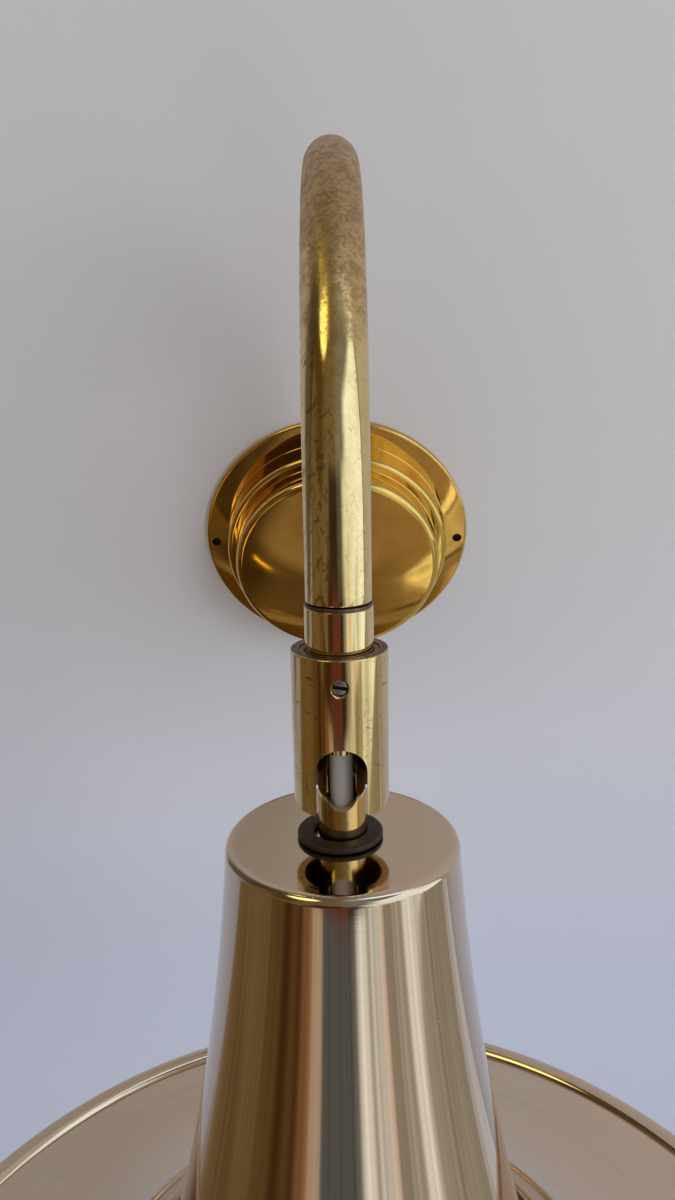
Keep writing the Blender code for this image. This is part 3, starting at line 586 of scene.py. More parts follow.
def bracket():
    low, high = barrel_low.z, barrel_high.z
    corners = [(0, low, 0), (BARREL_RADIUS, low, 0.4), (BARREL_RADIUS, high, 0.4), (0, high, 0)]
    barrel = lathe("pivot_barrel", rounded(corners, 4), ON_BARREL, canopy_brass, 96)
    neck_corners = [
        (0, DEPTH + 0.3 * MM, 0), (8.6 * MM, DEPTH + 0.3 * MM, 0.3), (8.6 * MM, DEPTH + 1.6 * MM, 0.5),
        (7 * MM, DEPTH + 2.2 * MM, 0.8), (7 * MM, -swing_at.y - 8 * MM, 0),
        (0, -swing_at.y - 8 * MM, 0),
    ]
    neck = lathe("neck", rounded(neck_corners, 4), ON_WALL, canopy_brass, 72)
    joined = carve(barrel, [neck], 0.0, "UNION")
    inside = disc(BARREL_BORE, low - MM, high + MM, ON_BARREL, 96)
    bore = disc(CENTRE_HOLE, DEPTH - MM, -swing_at.y, ON_WALL)
    screw_spot = turned_about(ON_BARREL, (0, 0, FRICTION_SCREW_UP), FRONT)
    tapped = disc(1.8 * MM, 6 * MM, 14 * MM, screw_spot, 32)
    hollow = carve(carve(joined, [inside]), [bore])
    return carve(hollow, [tapped], 0.12 * MM)


wear(bracket(), "base", "pivot_bracket")


def barrel_parts():
    cap_low, cap_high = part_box("barrel_end_cap")
    radius = cap_high.x
    corners = [
        (0, cap_low.z, 0), (radius - 0.1 * MM, cap_low.z, 1.6), (radius, barrel_low.z - 0.3 * MM, 0.3),
        (SPIGOT_RADIUS, barrel_low.z - 0.3 * MM, 0), (SPIGOT_RADIUS, cap_high.z, 0.3), (0, cap_high.z, 0),
    ]
    wear(lathe("barrel_cap", rounded(corners, 6), ON_BARREL, canopy_brass, 96), "base", "barrel_end_cap")
    bush_low, bush_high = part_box("upper_bush")
    corners = [
        (LEG_HOLE, bush_low.z, 0), (LEG_HOLE, bush_high.z, 0.2), (9.8 * MM, bush_high.z, 0.25),
        (9.8 * MM, barrel_high.z + 0.3 * MM, 0.1), (SPIGOT_RADIUS, barrel_high.z + 0.3 * MM, 0),
        (SPIGOT_RADIUS, bush_low.z, 0.2),
    ]
    wear(lathe("bush_flanged", rounded(corners, 3), ON_BARREL, nylon, 80), "base", "upper_bush")
    spot = turned_about(ON_BARREL, (0, -BARREL_RADIUS, FRICTION_SCREW_UP), FRONT)
    wear(slotted("friction_screw", 1.5 * MM, 1.2 * MM, spot, zinc_steel, 0.5 * MM, 0.6 * MM, 0.4),
         "base", "swing_friction_screw")


barrel_parts()


# ---- Arm -------------------------------------------------

tube_low, tube_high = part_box("arm_tube")
TUBE_RADIUS = tube_high.x
TUBE_BORE = 5.5 * MM
LEAN = math.atan2(leg_up.y, leg_up.z)
BEND_RADIUS = 78 * MM
BEND_UP = bend_top - BEND_RADIUS - TUBE_RADIUS


def tube_stations():
    """(point, direction) along the arm's centre line, from the rear leg round the bend to the front leg."""
    stations = []
    straight = 30
    for step in range(straight):
        height = tube_low.z + (BEND_UP - tube_low.z) * step / straight
        stations.append((Vector((0, 0, height)), Vector((0, 0, 1))))
    turn = math.pi - LEAN
    steps = 120
    for step in range(steps + 1):
        angle = turn * step / steps
        point = Vector((0, -BEND_RADIUS * (1 - math.cos(angle)), BEND_UP + BEND_RADIUS * math.sin(angle)))
        stations.append((point, Vector((0, -math.sin(angle), math.cos(angle)))))
    end = leg_end - swing_at
    start, way = stations[-1]
    leg = 12
    for step in range(1, leg + 1):
        stations.append((start.lerp(end, step / leg), way))
    return stations


def arm_tube():
    """A pipe with softened ends: out along its outer face, and back along its bore."""
    shape = bmesh.new()
    stations = tube_stations()
    sides = 72
    soft = 0.25 * MM
    (first, first_way), (last, last_way) = stations[0], stations[-1]
    around = [(first, first_way, TUBE_RADIUS - soft), (first + first_way * soft, first_way, TUBE_RADIUS)]
    around += [(point, way, TUBE_RADIUS) for point, way in stations[1:-1]]
    around.append((last - last_way * soft, last_way, TUBE_RADIUS))
    around.append((last - last_way * 0.05 * MM, last_way, TUBE_RADIUS - 0.08 * MM))
    around.append((last, last_way, TUBE_RADIUS - soft))
    around += [(point, way, TUBE_BORE) for point, way in reversed(stations)]
    rings = []
    for point, way, radius in around:
        side = Vector((1, 0, 0))
        other = way.cross(side)
        rings.append([])
        for index in range(sides):
            angle = math.tau * index / sides
            spoke = math.cos(angle) * side + math.sin(angle) * other
            rings[-1].append(shape.verts.new(point + radius * spoke))
    skin(shape, rings + rings[:1])
    return add_object("gooseneck", shape, Matrix.Translation(swing_at), arm_brass)


wear(arm_tube(), "arm", "arm_tube")

COLLAR_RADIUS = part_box("arm_collar")[1].x
COLLAR_BORE = 3.7 * MM
COLLAR_END = 24 * MM
SLEEVE_TOP = 9.7 * MM
SET_SCREW_DOWN = 15.4 * MM
GROOVE_RADIUS = 5.6 * MM
GROOVE_TOP, GROOVE_FOOT = 1.9 * MM - SET_SCREW_DOWN, -1.9 * MM - SET_SCREW_DOWN


def collar_look(here, there):
    """The collar's upper end and the rim below the tube are dark with oxide."""
    return 1 if min(here[1], there[1]) > -1 * MM and max(here[0], there[0]) > 4 * MM else 0


def arm_collar():
    """The turned collar under the tube's end: plain where it shows, grooved inside the sleeve."""
    corners = [
        (COLLAR_BORE, -0.3 * MM, 0.2), (COLLAR_RADIUS, -0.3 * MM, 0.2),
        (COLLAR_RADIUS, -0.75 * MM, 0.1), (COLLAR_RADIUS - 0.2 * MM, -0.85 * MM, 0.05),
        (COLLAR_RADIUS - 0.2 * MM, -1 * MM, 0.05), (COLLAR_RADIUS, -1.15 * MM, 0.1),
        (COLLAR_RADIUS, GROOVE_TOP, 0.1), (GROOVE_RADIUS, GROOVE_TOP, 0.1),
        (GROOVE_RADIUS, GROOVE_FOOT, 0.1), (COLLAR_RADIUS, GROOVE_FOOT, 0.1),
        (COLLAR_RADIUS, -COLLAR_END, 0.4), (COLLAR_BORE, -COLLAR_END, 0.2),
    ]
    return lathe("collar", rounded(corners, 4), ON_LEG, [collar_brass, edge_oxide], 96, collar_look)


wear(arm_collar(), "arm", "arm_collar")

FERRULE_BORE = 2.65 * MM
FERRULE_RADIUS = 3.4 * MM
FERRULE_END = 32.2 * MM
FERRULE_TIP = 2.98 * MM
FERRULE_STEP = -27.9 * MM  # just above the ears of the stem


def flex_ferrule():
    """The brass lining that guides the flex out of the collar, turned thinner between the stem's ears."""
    corners = [
        (FERRULE_BORE, -18 * MM, 0.1), (FERRULE_RADIUS, -18 * MM, 0.1),
        (FERRULE_RADIUS, FERRULE_STEP, 0.1), (FERRULE_TIP, FERRULE_STEP, 0),
        (FERRULE_TIP, -FERRULE_END, 0.1), (FERRULE_BORE, -FERRULE_END, 0.1),
    ]
    return lathe("ferrule", rounded(corners, 4), ON_LEG, collar_brass, 72)


wear(flex_ferrule(), "arm", "flex_ferrule")


def thrust_collar():
    low, high = (corner.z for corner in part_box("thrust_collar"))
    corners = [
        (LEG_HOLE, low, 0.1), (LEG_HOLE, high, 0.3),
        (BARREL_RADIUS, high, 1.2), (BARREL_RADIUS, low, 0.3),
    ]
    collar = lathe("thrust_collar_fine", rounded(corners, 6), ON_BARREL, arm_brass, 96)
    spot = turned_about(ON_BARREL, (0, 0, (low + high) / 2), (0, 1, 0))
    hole = disc(1.55 * MM, 4 * MM, 14 * MM, spot, 32)
    wear(carve(collar, [hole], 0.1 * MM), "arm", "thrust_collar")
    screw_spot = turned_about(ON_BARREL, (0, BARREL_RADIUS - 0.3 * MM, (low + high) / 2), (0, 1, 0))
    screw = slotted("thrust_screw", 1.25 * MM, 2.2 * MM, screw_spot, zinc_steel, 0.45 * MM, 0.5 * MM, 0.9)
    wear(screw, "arm", "thrust_collar_screw")


thrust_collar()


# ---- Knuckle ---------------------------------------------

SLEEVE_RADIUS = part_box("knuckle_sleeve")[1].x
SLEEVE_BORE = 8.3 * MM
SLEEVE_END = 42.9 * MM
PIVOT_DOWN = (leg_end - tilt_at).length
SLOT_WIDTH = 10.35 * MM
SET_SCREW_RADIUS = 1.5 * MM
PIN_RADIUS = 1.75 * MM


def sleeve_look(here, there):
    """The sleeve's upper end is brown with oxide, its lower end is bright, and its bore is dull brass
    darkened as painted shade.
    """
    if max(here[0], there[0]) < SLEEVE_BORE + 0.05 * MM:
        return 2
    return 1 if abs(here[1] - there[1]) < 0.02 * MM and here[1] > -15 * MM else 0


def knuckle_sleeve():
    corners = [
        (SLEEVE_BORE, -SLEEVE_TOP, 0.15), (SLEEVE_RADIUS, -SLEEVE_TOP, 0.3),
        (SLEEVE_RADIUS, -SLEEVE_END, 0.3), (SLEEVE_BORE, -SLEEVE_END, 0.15),
    ]
    looks = [knuckle_brass, edge_oxide, dull_bore_and_painted_shade]
    sleeve = lathe("knuckle", rounded(corners, 5), ON_LEG, looks, 128, sleeve_look)
    across = turned_about(ON_LEG, (0, 0, -PIVOT_DOWN), (1, 0, 0))
    ahead = turned_about(ON_LEG, (0, 0, -PIVOT_DOWN), FRONT)
    arch = disc(SLOT_WIDTH / 2, 0, 16 * MM, ahead, 64)
    mouth_height = SLEEVE_END - PIVOT_DOWN + 3 * MM
    middle = -PIVOT_DOWN - mouth_height / 2
    mouth = box((SLOT_WIDTH, 16 * MM, mouth_height), (0, -8 * MM, middle), ON_LEG)
    slot = carve(arch, [mouth], 0.0, "UNION")
    cross = disc(PIN_RADIUS + 0.15 * MM, -16 * MM, 16 * MM, across, 40)
    front = turned_about(ON_LEG, (0, 0, -SET_SCREW_DOWN), FRONT)
    reach = SET_SCREW_RADIUS + 0.08 * MM
    tapped = disc(reach, 0, 16 * MM, front)
    low, high = 8.85 * MM, 10.8 * MM
    cone = [(0, low), (reach - 0.5 * MM, low), (reach + 1 * MM, high), (0, high)]
    countersink = lathe("countersink", cone, front, [], 48)
    for cutter in (slot, cross, countersink):
        sleeve = carve(sleeve, [cutter])
    return carve(sleeve, [tapped], 0.12 * MM)


wear(knuckle_sleeve(), "knuckle", "knuckle_sleeve")


def swivel_bush():
    """The bronze ring between the collar and the sleeve, nearly flush with the sleeve's top."""
    low, high = -22 * MM, -SLEEVE_TOP - 0.3 * MM
    corners = [
        (COLLAR_RADIUS + 0.15 * MM, low, 0.1), (COLLAR_RADIUS + 0.15 * MM, high, 0.15),
        (SLEEVE_BORE - 0.1 * MM, high, 0.15), (SLEEVE_BORE - 0.1 * MM, low, 0.1),
    ]
    ring = lathe("bush_ring", rounded(corners, 3), ON_LEG, bronze, 96)
    front = turned_about(ON_LEG, (0, 0, -SET_SCREW_DOWN), FRONT)
    hole = disc(SET_SCREW_RADIUS + 0.2 * MM, 0, 12 * MM, front, 40)
    return carve(ring, [hole])


wear(swivel_bush(), "knuckle", "swivel_bush")


def knuckle_parts():
    set_spot = turned_about(ON_LEG, (0, -SLEEVE_RADIUS + 0.75 * MM, -SET_SCREW_DOWN), FRONT)
    screw = slotted("set_screw", SET_SCREW_RADIUS, 3.1 * MM, set_spot, dark_steel, 0.7 * MM, 0.9 * MM, -0.17)
    wear(screw, "knuckle", "sleeve_set_screw")
    for side, word in ((-1, "left"), (1, "right")):
        spot = turned_about(ON_LEG, (side * (SLEEVE_RADIUS - 0.2 * MM), 0, -PIVOT_DOWN), (side, 0, 0))
        pin = slotted("pivot_pin_" + word, PIN_RADIUS, 6 * MM, spot, zinc_steel, 0.5 * MM, 0.7 * MM,
                      0.7 * side)
        wear(pin, "knuckle", "pivot_screw_" + word)
        low = 5.3 * MM
        corners = [
            (2.05 * MM, low, 0.1), (3.4 * MM, low, 0.2), (3.4 * MM, low + 1.9 * MM, 0.2),
            (2.05 * MM, low + 1.9 * MM, 0.1),
        ]
        centre = turned_about(ON_LEG, (0, 0, -PIVOT_DOWN), (side, 0, 0))
        # The spacers are near-black: a dark washer colour, deepened as painted shade between the stem's ears
        # and the sleeve.
        spacer = lathe("spacer_" + word, rounded(corners, 3), centre, dark_spacer_and_slot_shade, 48)
        wear(spacer, "knuckle", "pivot_spacer_" + word)


knuckle_parts()


# ---- Head: stem, ring, shade -----------------------------

CAP_DROP = 18.1 * MM
STEM_RADIUS = 5 * MM
STEM_BORE = 2.9 * MM
NIPPLE_RADIUS = 4.2 * MM
STEM_END = 15 * MM
WINDOW = 6.2 * MM
WINDOW_BOTTOM = 10.4 * MM
REAR_SILL = 4.4 * MM


def under(drop):
    """Height, in the head's frame, of what lies this far below the shade's flat top."""
    return -CAP_DROP - drop


def tilt_stem():
    """A rod with a round-bottomed window through it and ears that round off about the cross screws."""
    top = 5.15 * MM
    corners = [
        (0, top + MM, 0), (STEM_RADIUS, top + MM, 0), (STEM_RADIUS, under(-0.3 * MM), 0.25),
        (NIPPLE_RADIUS, under(-0.3 * MM), 0), (NIPPLE_RADIUS, under(STEM_END), 0.4),
        (0, under(STEM_END), 0),
    ]
    stem = lathe("fork_stem", rounded(corners, 4), ON_HEAD, stem_brass, 96)
    across = turned_about(ON_HEAD, (0, 0, 0), (1, 0, 0))
    ears = disc(top, -9 * MM, 9 * MM, across, 64)
    lower = box((14 * MM, 16 * MM, 60 * MM), (0, 0, -29 * MM), ON_HEAD)
    keep = carve(ears, [lower], 0.0, "UNION")
    shaped = carve(stem, [keep], 0.0, "INTERSECT")
    middle = -WINDOW_BOTTOM + WINDOW / 2
    foot = disc(WINDOW / 2, 0, 9 * MM, turned_about(ON_HEAD, (0, 0, middle), FRONT))
    gap = box((WINDOW, 9 * MM, 24 * MM), (0, -4.5 * MM, middle + 12 * MM), ON_HEAD)
    rear = box((WINDOW - 0.1 * MM, 9.5 * MM, 24 * MM), (0, 4.25 * MM, -REAR_SILL + 12 * MM), ON_HEAD)
    window = carve(carve(foot, [gap], 0.0, "UNION"), [rear], 0.0, "UNION")
    bore = disc(STEM_BORE, under(STEM_END + 2 * MM), 0, ON_HEAD)
    cross = disc(PIN_RADIUS + 0.2 * MM, -9 * MM, 9 * MM, across, 40)
    return carve(shaped, [window, bore, cross], 0.2 * MM)


wear(tilt_stem(), "head", "tilt_stem")


def stem_ring():
    low, high = under(-0.3 * MM), under(-1.5 * MM)
    corners = [(5.6 * MM, low, 0.3), (5.6 * MM, high, 0.4), (9.1 * MM, high, 0.5), (9.1 * MM, low, 0.3)]
    at = ON_HEAD @ Matrix.Translation((-0.45 * MM, 0, 0))
    return lathe("fibre_ring", rounded(corners, 5), at, fibre, 96)


wear(stem_ring(), "head", "stem_ring")

TOP_RADIUS = 25 * MM
TOP_EDGE = 2 * MM
SHEET = 1 * MM
STEEP, SLOPED, FLAT = (math.radians(angle) for angle in (4.6, 14.0, 83.0))
NECK_CURVE = 577 * MM
FLARE_CURVE = 90 * MM
BRIM_LENGTH = 21 * MM
BEAD_RADIUS = 4 * MM
SHADE_HOLE = 4.6 * MM


def curve_down(start, first, last, radius, steps):
    points = []
    for step in range(1, steps + 1):
        angle = first + (last - first) * step / steps
        out = start[0] + radius * (math.cos(first) - math.cos(angle))
        drop = start[1] + radius * (math.sin(angle) - math.sin(first))
        points.append((out, drop, angle))
    return points


def shade_section():
    """(radius, drop, angle) points of the sheet's outer face, from the hole in its top to the bead."""
    outer = [(SHADE_HOLE, 0.0, math.pi / 2), (TOP_RADIUS - TOP_EDGE - 3 * MM, 0.0, math.pi / 2)]
    start = math.pi / 2
    for step in range(9):
        angle = start + (STEEP - start) * step / 8
        out = TOP_RADIUS - TOP_EDGE + TOP_EDGE * math.cos(angle)
        outer.append((out, TOP_EDGE - TOP_EDGE * math.sin(angle), angle))
    outer += curve_down(outer[-1], STEEP, SLOPED, NECK_CURVE, 24)
    outer += curve_down(outer[-1], SLOPED, FLAT, FLARE_CURVE, 44)
    out, drop, angle = outer[-1]
    for step in range(1, 7):
        length = BRIM_LENGTH * step / 6
        outer.append((out + length * math.sin(angle), drop + length * math.cos(angle), angle))
    return outer


def shade():
    outer = shade_section()
    crease = outer[-1]
    centre = (crease[0] + 3.6 * MM, under(crease[1] + 1.8 * MM))
    outline = [(out, under(drop)) for out, drop, angle in outer]
    outline += arc(centre, BEAD_RADIUS, 143, -170, 40)
    inner = []
    for out, drop, angle in outer:
        inner.append((out - SHEET * math.cos(angle), under(drop + SHEET * math.sin(angle))))
    inner[0] = (SHADE_HOLE, under(SHEET))
    outline += inner[::-1]
    lacquered = set(inner)

    def inside(here, there):
        return 1 if here in lacquered and there in lacquered else 0

    return lathe("trumpet_shade", outline, ON_HEAD, [shade_brass, white_lacquer], 224, inside)


wear(shade(), "head", "shade")


# ---- Lampholder ------------------------------------------

HOLDER_RADIUS = 18.8 * MM
HOLDER_TOP = 7.1 * MM
HOLDER_SPLIT = 28 * MM
HOLDER_END = 66 * MM
SHELL_RADIUS = 14.2 * MM


def lampholder():
    wall = 1.5 * MM
    hole = NIPPLE_RADIUS + 0.3 * MM
    corners = [
        (hole, under(HOLDER_TOP), 0.3), (8 * MM, under(HOLDER_TOP), 0.6),
        (8 * MM, under(HOLDER_TOP + 5 * MM), 0.8),
        (14.5 * MM, under(HOLDER_TOP + 8 * MM), 3.0),
        (HOLDER_RADIUS, under(HOLDER_TOP + 12.5 * MM), 2.5),
        (HOLDER_RADIUS, under(HOLDER_SPLIT), 0.3),
        (HOLDER_RADIUS - wall, under(HOLDER_SPLIT), 0),
        (HOLDER_RADIUS - wall, under(HOLDER_TOP + 13.4 * MM), 1.5),
        (14 * MM, under(HOLDER_TOP + 9.6 * MM), 2.0), (hole, under(HOLDER_TOP + 7 * MM), 0),
    ]
    wear(lathe("holder_cap", rounded(corners, 5), ON_HEAD, bakelite, 96), "head", "lampholder_cap")
    top, bottom = HOLDER_SPLIT + 0.3 * MM, HOLDER_END - 2 * MM
    skirt = [(HOLDER_RADIUS - wall, under(top)), (HOLDER_RADIUS, under(top))]
    ribs = 9
    pitch = (bottom - top - 6 * MM) / ribs
    for rib in range(ribs):
        start = top + 3 * MM + (bottom - top - 6 * MM) * rib / ribs
        for part, inset in ((0, 0), (0.25, 0.5), (0.5, 0.5), (0.75, 0)):
            skirt.append((HOLDER_RADIUS - inset * MM, under(start + part * pitch)))
    skirt += [
        (HOLDER_RADIUS, under(bottom)),
        (HOLDER_RADIUS - 1.2 * MM, under(HOLDER_END)),
        (HOLDER_RADIUS - 3.4 * MM, under(HOLDER_END)),
        (HOLDER_RADIUS - 3.4 * MM, under(HOLDER_END - 1.5 * MM)),
        (HOLDER_RADIUS - wall, under(HOLDER_END - 1.5 * MM)),
    ]
    wear(lathe("holder_skirt", skirt, ON_HEAD, bakelite, 96), "head", "lampholder_skirt")

    outer, inner = [], []
    start, end = 38.1 * MM, HOLDER_END - 4.2 * MM
    steps = 66
    turns = 3.3
    for step in range(steps + 1):
        drop = start + (end - start) * step / steps
        wave = 0.35 * MM * math.cos(math.tau * turns * 2 * step / steps)
        outer.append((SHELL_RADIUS - 0.4 * MM + wave, under(drop)))
        inner.append((SHELL_RADIUS - 0.9 * MM + wave, under(drop)))
    shell = lathe("threaded_shell", outer + inner[::-1], ON_HEAD, contact_brass, 96)
    wear(shell, "head", "screw_shell")
    corners = [
        (0, under(37.8 * MM), 0), (5 * MM, under(37.8 * MM), 0),
        (5 * MM, under(38.4 * MM), 0.2), (2 * MM, under(40.4 * MM), 0.8),
        (0, under(40.4 * MM), 0),
    ]
    wear(lathe("contact", rounded(corners, 4), ON_HEAD, contact_brass, 48), "head", "centre_contact")


lampholder()


# ---- Flex ------------------------------------------------

FLEX_RADIUS = 2.5 * MM


def knuckle_flex():
    """The grey flex from the collar down into the stem."""
    top, bottom = PIVOT_DOWN - 24.3 * MM, under(23 * MM)
    steps = 60
    heights = [top + (bottom - top) * step / steps for step in range(steps + 1)]
    flex = rod("flex", FLEX_RADIUS, heights, ON_HEAD, grey_sheath, 40)
    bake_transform(flex)
    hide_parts("knuckle_flex", "head_flex")


knuckle_flex()


# ---- CAD nodes that keep their shape ---------------------

KEPT = {
    zinc_steel: ["bracket_nipple", "lock_washer", "lock_nut", "terminal_strap", "terminal_fixing_screw",
                 "retaining_ring", "shade_washer", "shade_nut"],
    contact_brass: ["terminal_screw_live", "terminal_screw_neutral", "earth_screw",
                    "holder_screw_live", "holder_screw_neutral"],
    nylon: ["terminal_block", "lower_bush"],
    bakelite: ["insulating_bush"],
    ceramic: ["lampholder_core"],
    grey_sheath: ["canopy_flex", "arm_flex"],
}
for look, names in KEPT.items():
    for name in names:
        data = frame["nodes"][name].data
        data.materials.clear()
        data.materials.append(look)


# ---- Stage: wall, floor, light and camera ----------------


def matt_paint(name, low_colour, high_colour=None):
    """Matt paint with a faint speckle, which may change upwards from one colour to another as painted
    light.
    """
    made = Look(name)
    spots = made.coordinates()
    tone = low_colour
    if high_colour:
        tone = made.mix(made.span(made.axis(spots, 2), -0.45, 0.1), low_colour, high_colour)
    tone = made.mix(made.times(made.noise(spots, 60, 4), 0.04), tone, (0.5, 0.5, 0.5))
    made.surface(tone, 0.9)
    made.shader.inputs["Specular IOR Level"].default_value = 0.2
    return made, spots, tone


OPENING = 59.4 * MM


def wall_paint():
    """Painted shade far to the left and a painted shadow overhead, over painted daylight that turns from
    bluish low down to pinker higher up; clear from behind, and behind the canopy's open back.
    """
    # Bluish low down and pinker higher up: painted daylight on the wall.
    made, spots, tone = matt_paint("wall_paint", (0.66, 0.68, 0.82), (0.74, 0.71, 0.72))
    across, up = made.axis(spots, 0), made.axis(spots, 2)
    far_left_shade = made.times(made.span(across, -0.20, -0.42), made.span(up, -0.28, -0.12))
    overhead_shadow = made.times(made.span(up, 0.26, 0.50), made.span(across, 0.35, -0.10))
    # Painted shade on the wall far to the left, and a painted shadow on it overhead.
    tone = made.mix(made.times(far_left_shade, 0.85), tone, (0.10, 0.08, 0.05))
    tone = made.mix(made.times(overhead_shadow, 0.75), tone, (0.12, 0.09, 0.05))
    made.put(tone, made.shader.inputs["Base Color"])
    far = made.add("ShaderNodeVectorMath", operation="LENGTH")
    made.link(spots, far.inputs[0])
    opening = made.math("LESS_THAN", far.outputs["Value"], OPENING)
    behind = made.add("ShaderNodeNewGeometry").outputs["Backfacing"]
    blend = made.add("ShaderNodeMixShader")
    made.link(made.math("MAXIMUM", opening, behind), blend.inputs[0])
    made.link(made.shader.outputs[0], blend.inputs[1])
    made.link(made.add("ShaderNodeBsdfTransparent").outputs[0], blend.inputs[2])
    made.link(blend.outputs[0], made.tree.nodes["Material Output"].inputs["Surface"])
    return made.material


def stage_plane(name, corners, look):
    shape = bmesh.new()
    shape.faces.new([shape.verts.new(corner) for corner in corners])
    plane = link_object(name, shape, [look])
    return plane


SIDE = 4.0
FLOOR_Z = -0.90
WALL_BACK = 0.4 * MM
HOLE_SHADE_BACK = 0.3 * MM
HOLE_SHADE_RADIUS = 2.6 * MM


def stage():
    stage_plane("backdrop", [(-SIDE, WALL_BACK, FLOOR_Z), (SIDE, WALL_BACK, FLOOR_Z),
                             (SIDE, WALL_BACK, SIDE), (-SIDE, WALL_BACK, SIDE)], wall_paint())
    floor_look = matt_paint("floor_paint", (0.72, 0.71, 0.70))[0].material
    floor = stage_plane("floor", [(-SIDE, -2 * SIDE, FLOOR_Z), (SIDE, -2 * SIDE, FLOOR_Z),
                                  (SIDE, SIDE, FLOOR_Z), (-SIDE, SIDE, FLOOR_Z)], floor_look)
    floor.visible_glossy = False
    # Near-black discs on the wall behind the canopy's screw holes are painted shade in the holes.
    hole_shade_look = matt_paint("painted_hole_shade", (0.02, 0.02, 0.02))[0].material
    for side, word in ((-1, "left"), (1, "right")):
        angles = [math.tau * step / 32 for step in range(32)]
        rim = [(side * HOLE_PITCH + HOLE_SHADE_RADIUS * math.cos(angle), HOLE_SHADE_BACK,
                HOLE_SHADE_RADIUS * math.sin(angle)) for angle in angles]
        stage_plane("wall_hole_shade_" + word, rim, hole_shade_look)


stage()


def area_light(name, place, aim, size, power, colour, shows):
    data = bpy.data.lights.new(name, "AREA")
    data.energy = power
    data.color = colour
    data.size = size
    lamp = bpy.data.objects.new(name, data)
    bpy.context.scene.collection.objects.link(lamp)
    lamp.location = place
    lamp.rotation_mode = "QUATERNION"
    lamp.rotation_quaternion = (Vector(aim) - Vector(place)).to_track_quat("-Z", "Y")
    lamp.visible_glossy = shows


# The studio's panels. Each is (azimuths, colour): degrees to the right of straight out from the wall, between
# which the colour holds.
LILAC = (0.42, 0.42, 0.48)
PALE_LILAC = (0.56, 0.61, 0.70)
OLIVE = (0.185, 0.13, 0.065)
BROWN_OLIVE = (0.125, 0.078, 0.03)
DEEP_OLIVE = (0.10, 0.065, 0.022)
HIGH_OLIVE = (0.19, 0.15, 0.085)
UMBER = (0.075, 0.033, 0.012)
RUST = (0.22, 0.125, 0.06)
ORANGE = (0.40, 0.245, 0.125)
BEIGE = (0.50, 0.43, 0.35)
COAT = (0.11, 0.13, 0.14)
RUSSET = (0.15, 0.048, 0.034)
NEAR_BLACK = (0.045, 0.03, 0.024)
EARTH = (0.12, 0.065, 0.010)
DARK_EARTH = (0.07, 0.042, 0.010)
CLAY = (0.20, 0.14, 0.08)
GREY = (0.24, 0.25, 0.27)
SOFT_WINDOW = (0.72, 0.80, 0.80)
PALE_WINDOW = (0.95, 1.08, 1.10)
BRIGHT_WINDOW = (1.20, 1.40, 1.60)
PEACH = (0.92, 0.82, 0.74)
KHAKI = (0.44, 0.45, 0.39)
DEEP_KHAKI = (0.33, 0.33, 0.28)

FLOORWARD = [
    (-180, -115, LILAC), (-98, OLIVE), (-50, UMBER), (-20, -8, DARK_EARTH), (-3, 3, EARTH), (4, 5.6, CLAY),
    (6.6, 10, PEACH), (12, DEEP_KHAKI), (60, KHAKI), (91, DEEP_KHAKI), (96, PALE_LILAC),
]
LEFT_OF_VIEWER = [
    (-180, -115, LILAC), (-98, -66, OLIVE), (-57, -51, BROWN_OLIVE), (-48, -44, UMBER), (-40, BROWN_OLIVE),
    (-36, UMBER), (-31, -28.5, RUST), (-26.5, ORANGE), (-24.5, -18.2, BEIGE), (-16.6, 4.5, COAT), (8, GREY),
    (11, 16, PALE_WINDOW), (19, KHAKI), (21, 27, SOFT_WINDOW), (30, PEACH), (32.5, 37, DEEP_KHAKI),
    (40, 47, KHAKI), (49, 54, PALE_WINDOW),
]
LOW = LEFT_OF_VIEWER + [(58, KHAKI), (74, 91, DEEP_KHAKI), (96, PALE_LILAC)]
LEVEL = LEFT_OF_VIEWER + [(60, SOFT_WINDOW), (74, 98, BRIGHT_WINDOW), (125, PALE_LILAC)]
HAND = [
    (-180, LILAC), (-90, -60, OLIVE), (-38, HIGH_OLIVE), (-33, UMBER), (-21, NEAR_BLACK), (-18, 3, RUSSET),
    (5, 12, NEAR_BLACK), (16, GREY), (22, KHAKI), (27, PALE_WINDOW), (31, 36, PEACH), (40, PALE_WINDOW),
    (66, 100, BRIGHT_WINDOW), (125, PALE_LILAC),
]
CHEST = [
    (-180, LILAC), (-90, OLIVE), (-64, -54, DEEP_OLIVE), (-45, -34, HIGH_OLIVE), (-24, -4, NEAR_BLACK),
    (3, 12, COAT), (24, PALE_WINDOW), (70, BRIGHT_WINDOW), (95, PALE_WINDOW), (120, PALE_LILAC),
]
HIGH = [
    (-180, LILAC), (-90, -63, DEEP_OLIVE), (-43, -8, HIGH_OLIVE), (6, 24, GREY), (42, 112, BRIGHT_WINDOW),
    (130, PALE_LILAC),
]
CEILING = [
    (-180, LILAC), (-90, HIGH_OLIVE), (-60, OLIVE), (-20, HIGH_OLIVE), (20, 60, GREY), (82, COAT),
    (97, 112, BRIGHT_WINDOW), (130, PALE_LILAC),
]
# Each layer of panels takes over from the one below it between these two elevations.
LAYERS = [
    (-31, -26, LOW), (-17, -14, LEVEL), (-0.5, 2.5, HAND), (9, 14, CHEST), (24, 35, HIGH), (43, 55, CEILING),
]
BULB_TURNED, BULB_RAISED = math.radians(-78), math.radians(61)
BULB_WIDTH = (14, 8)  # degrees from its middle where it begins and where it is at its full brightness
BULB_COLOUR = (2.3, 2.2, 0.95)
CLUTTER = 130.0  # narrow upright stripes in a whole turn, as from the furniture of a room
CLUTTER_CONTRAST = 0.75


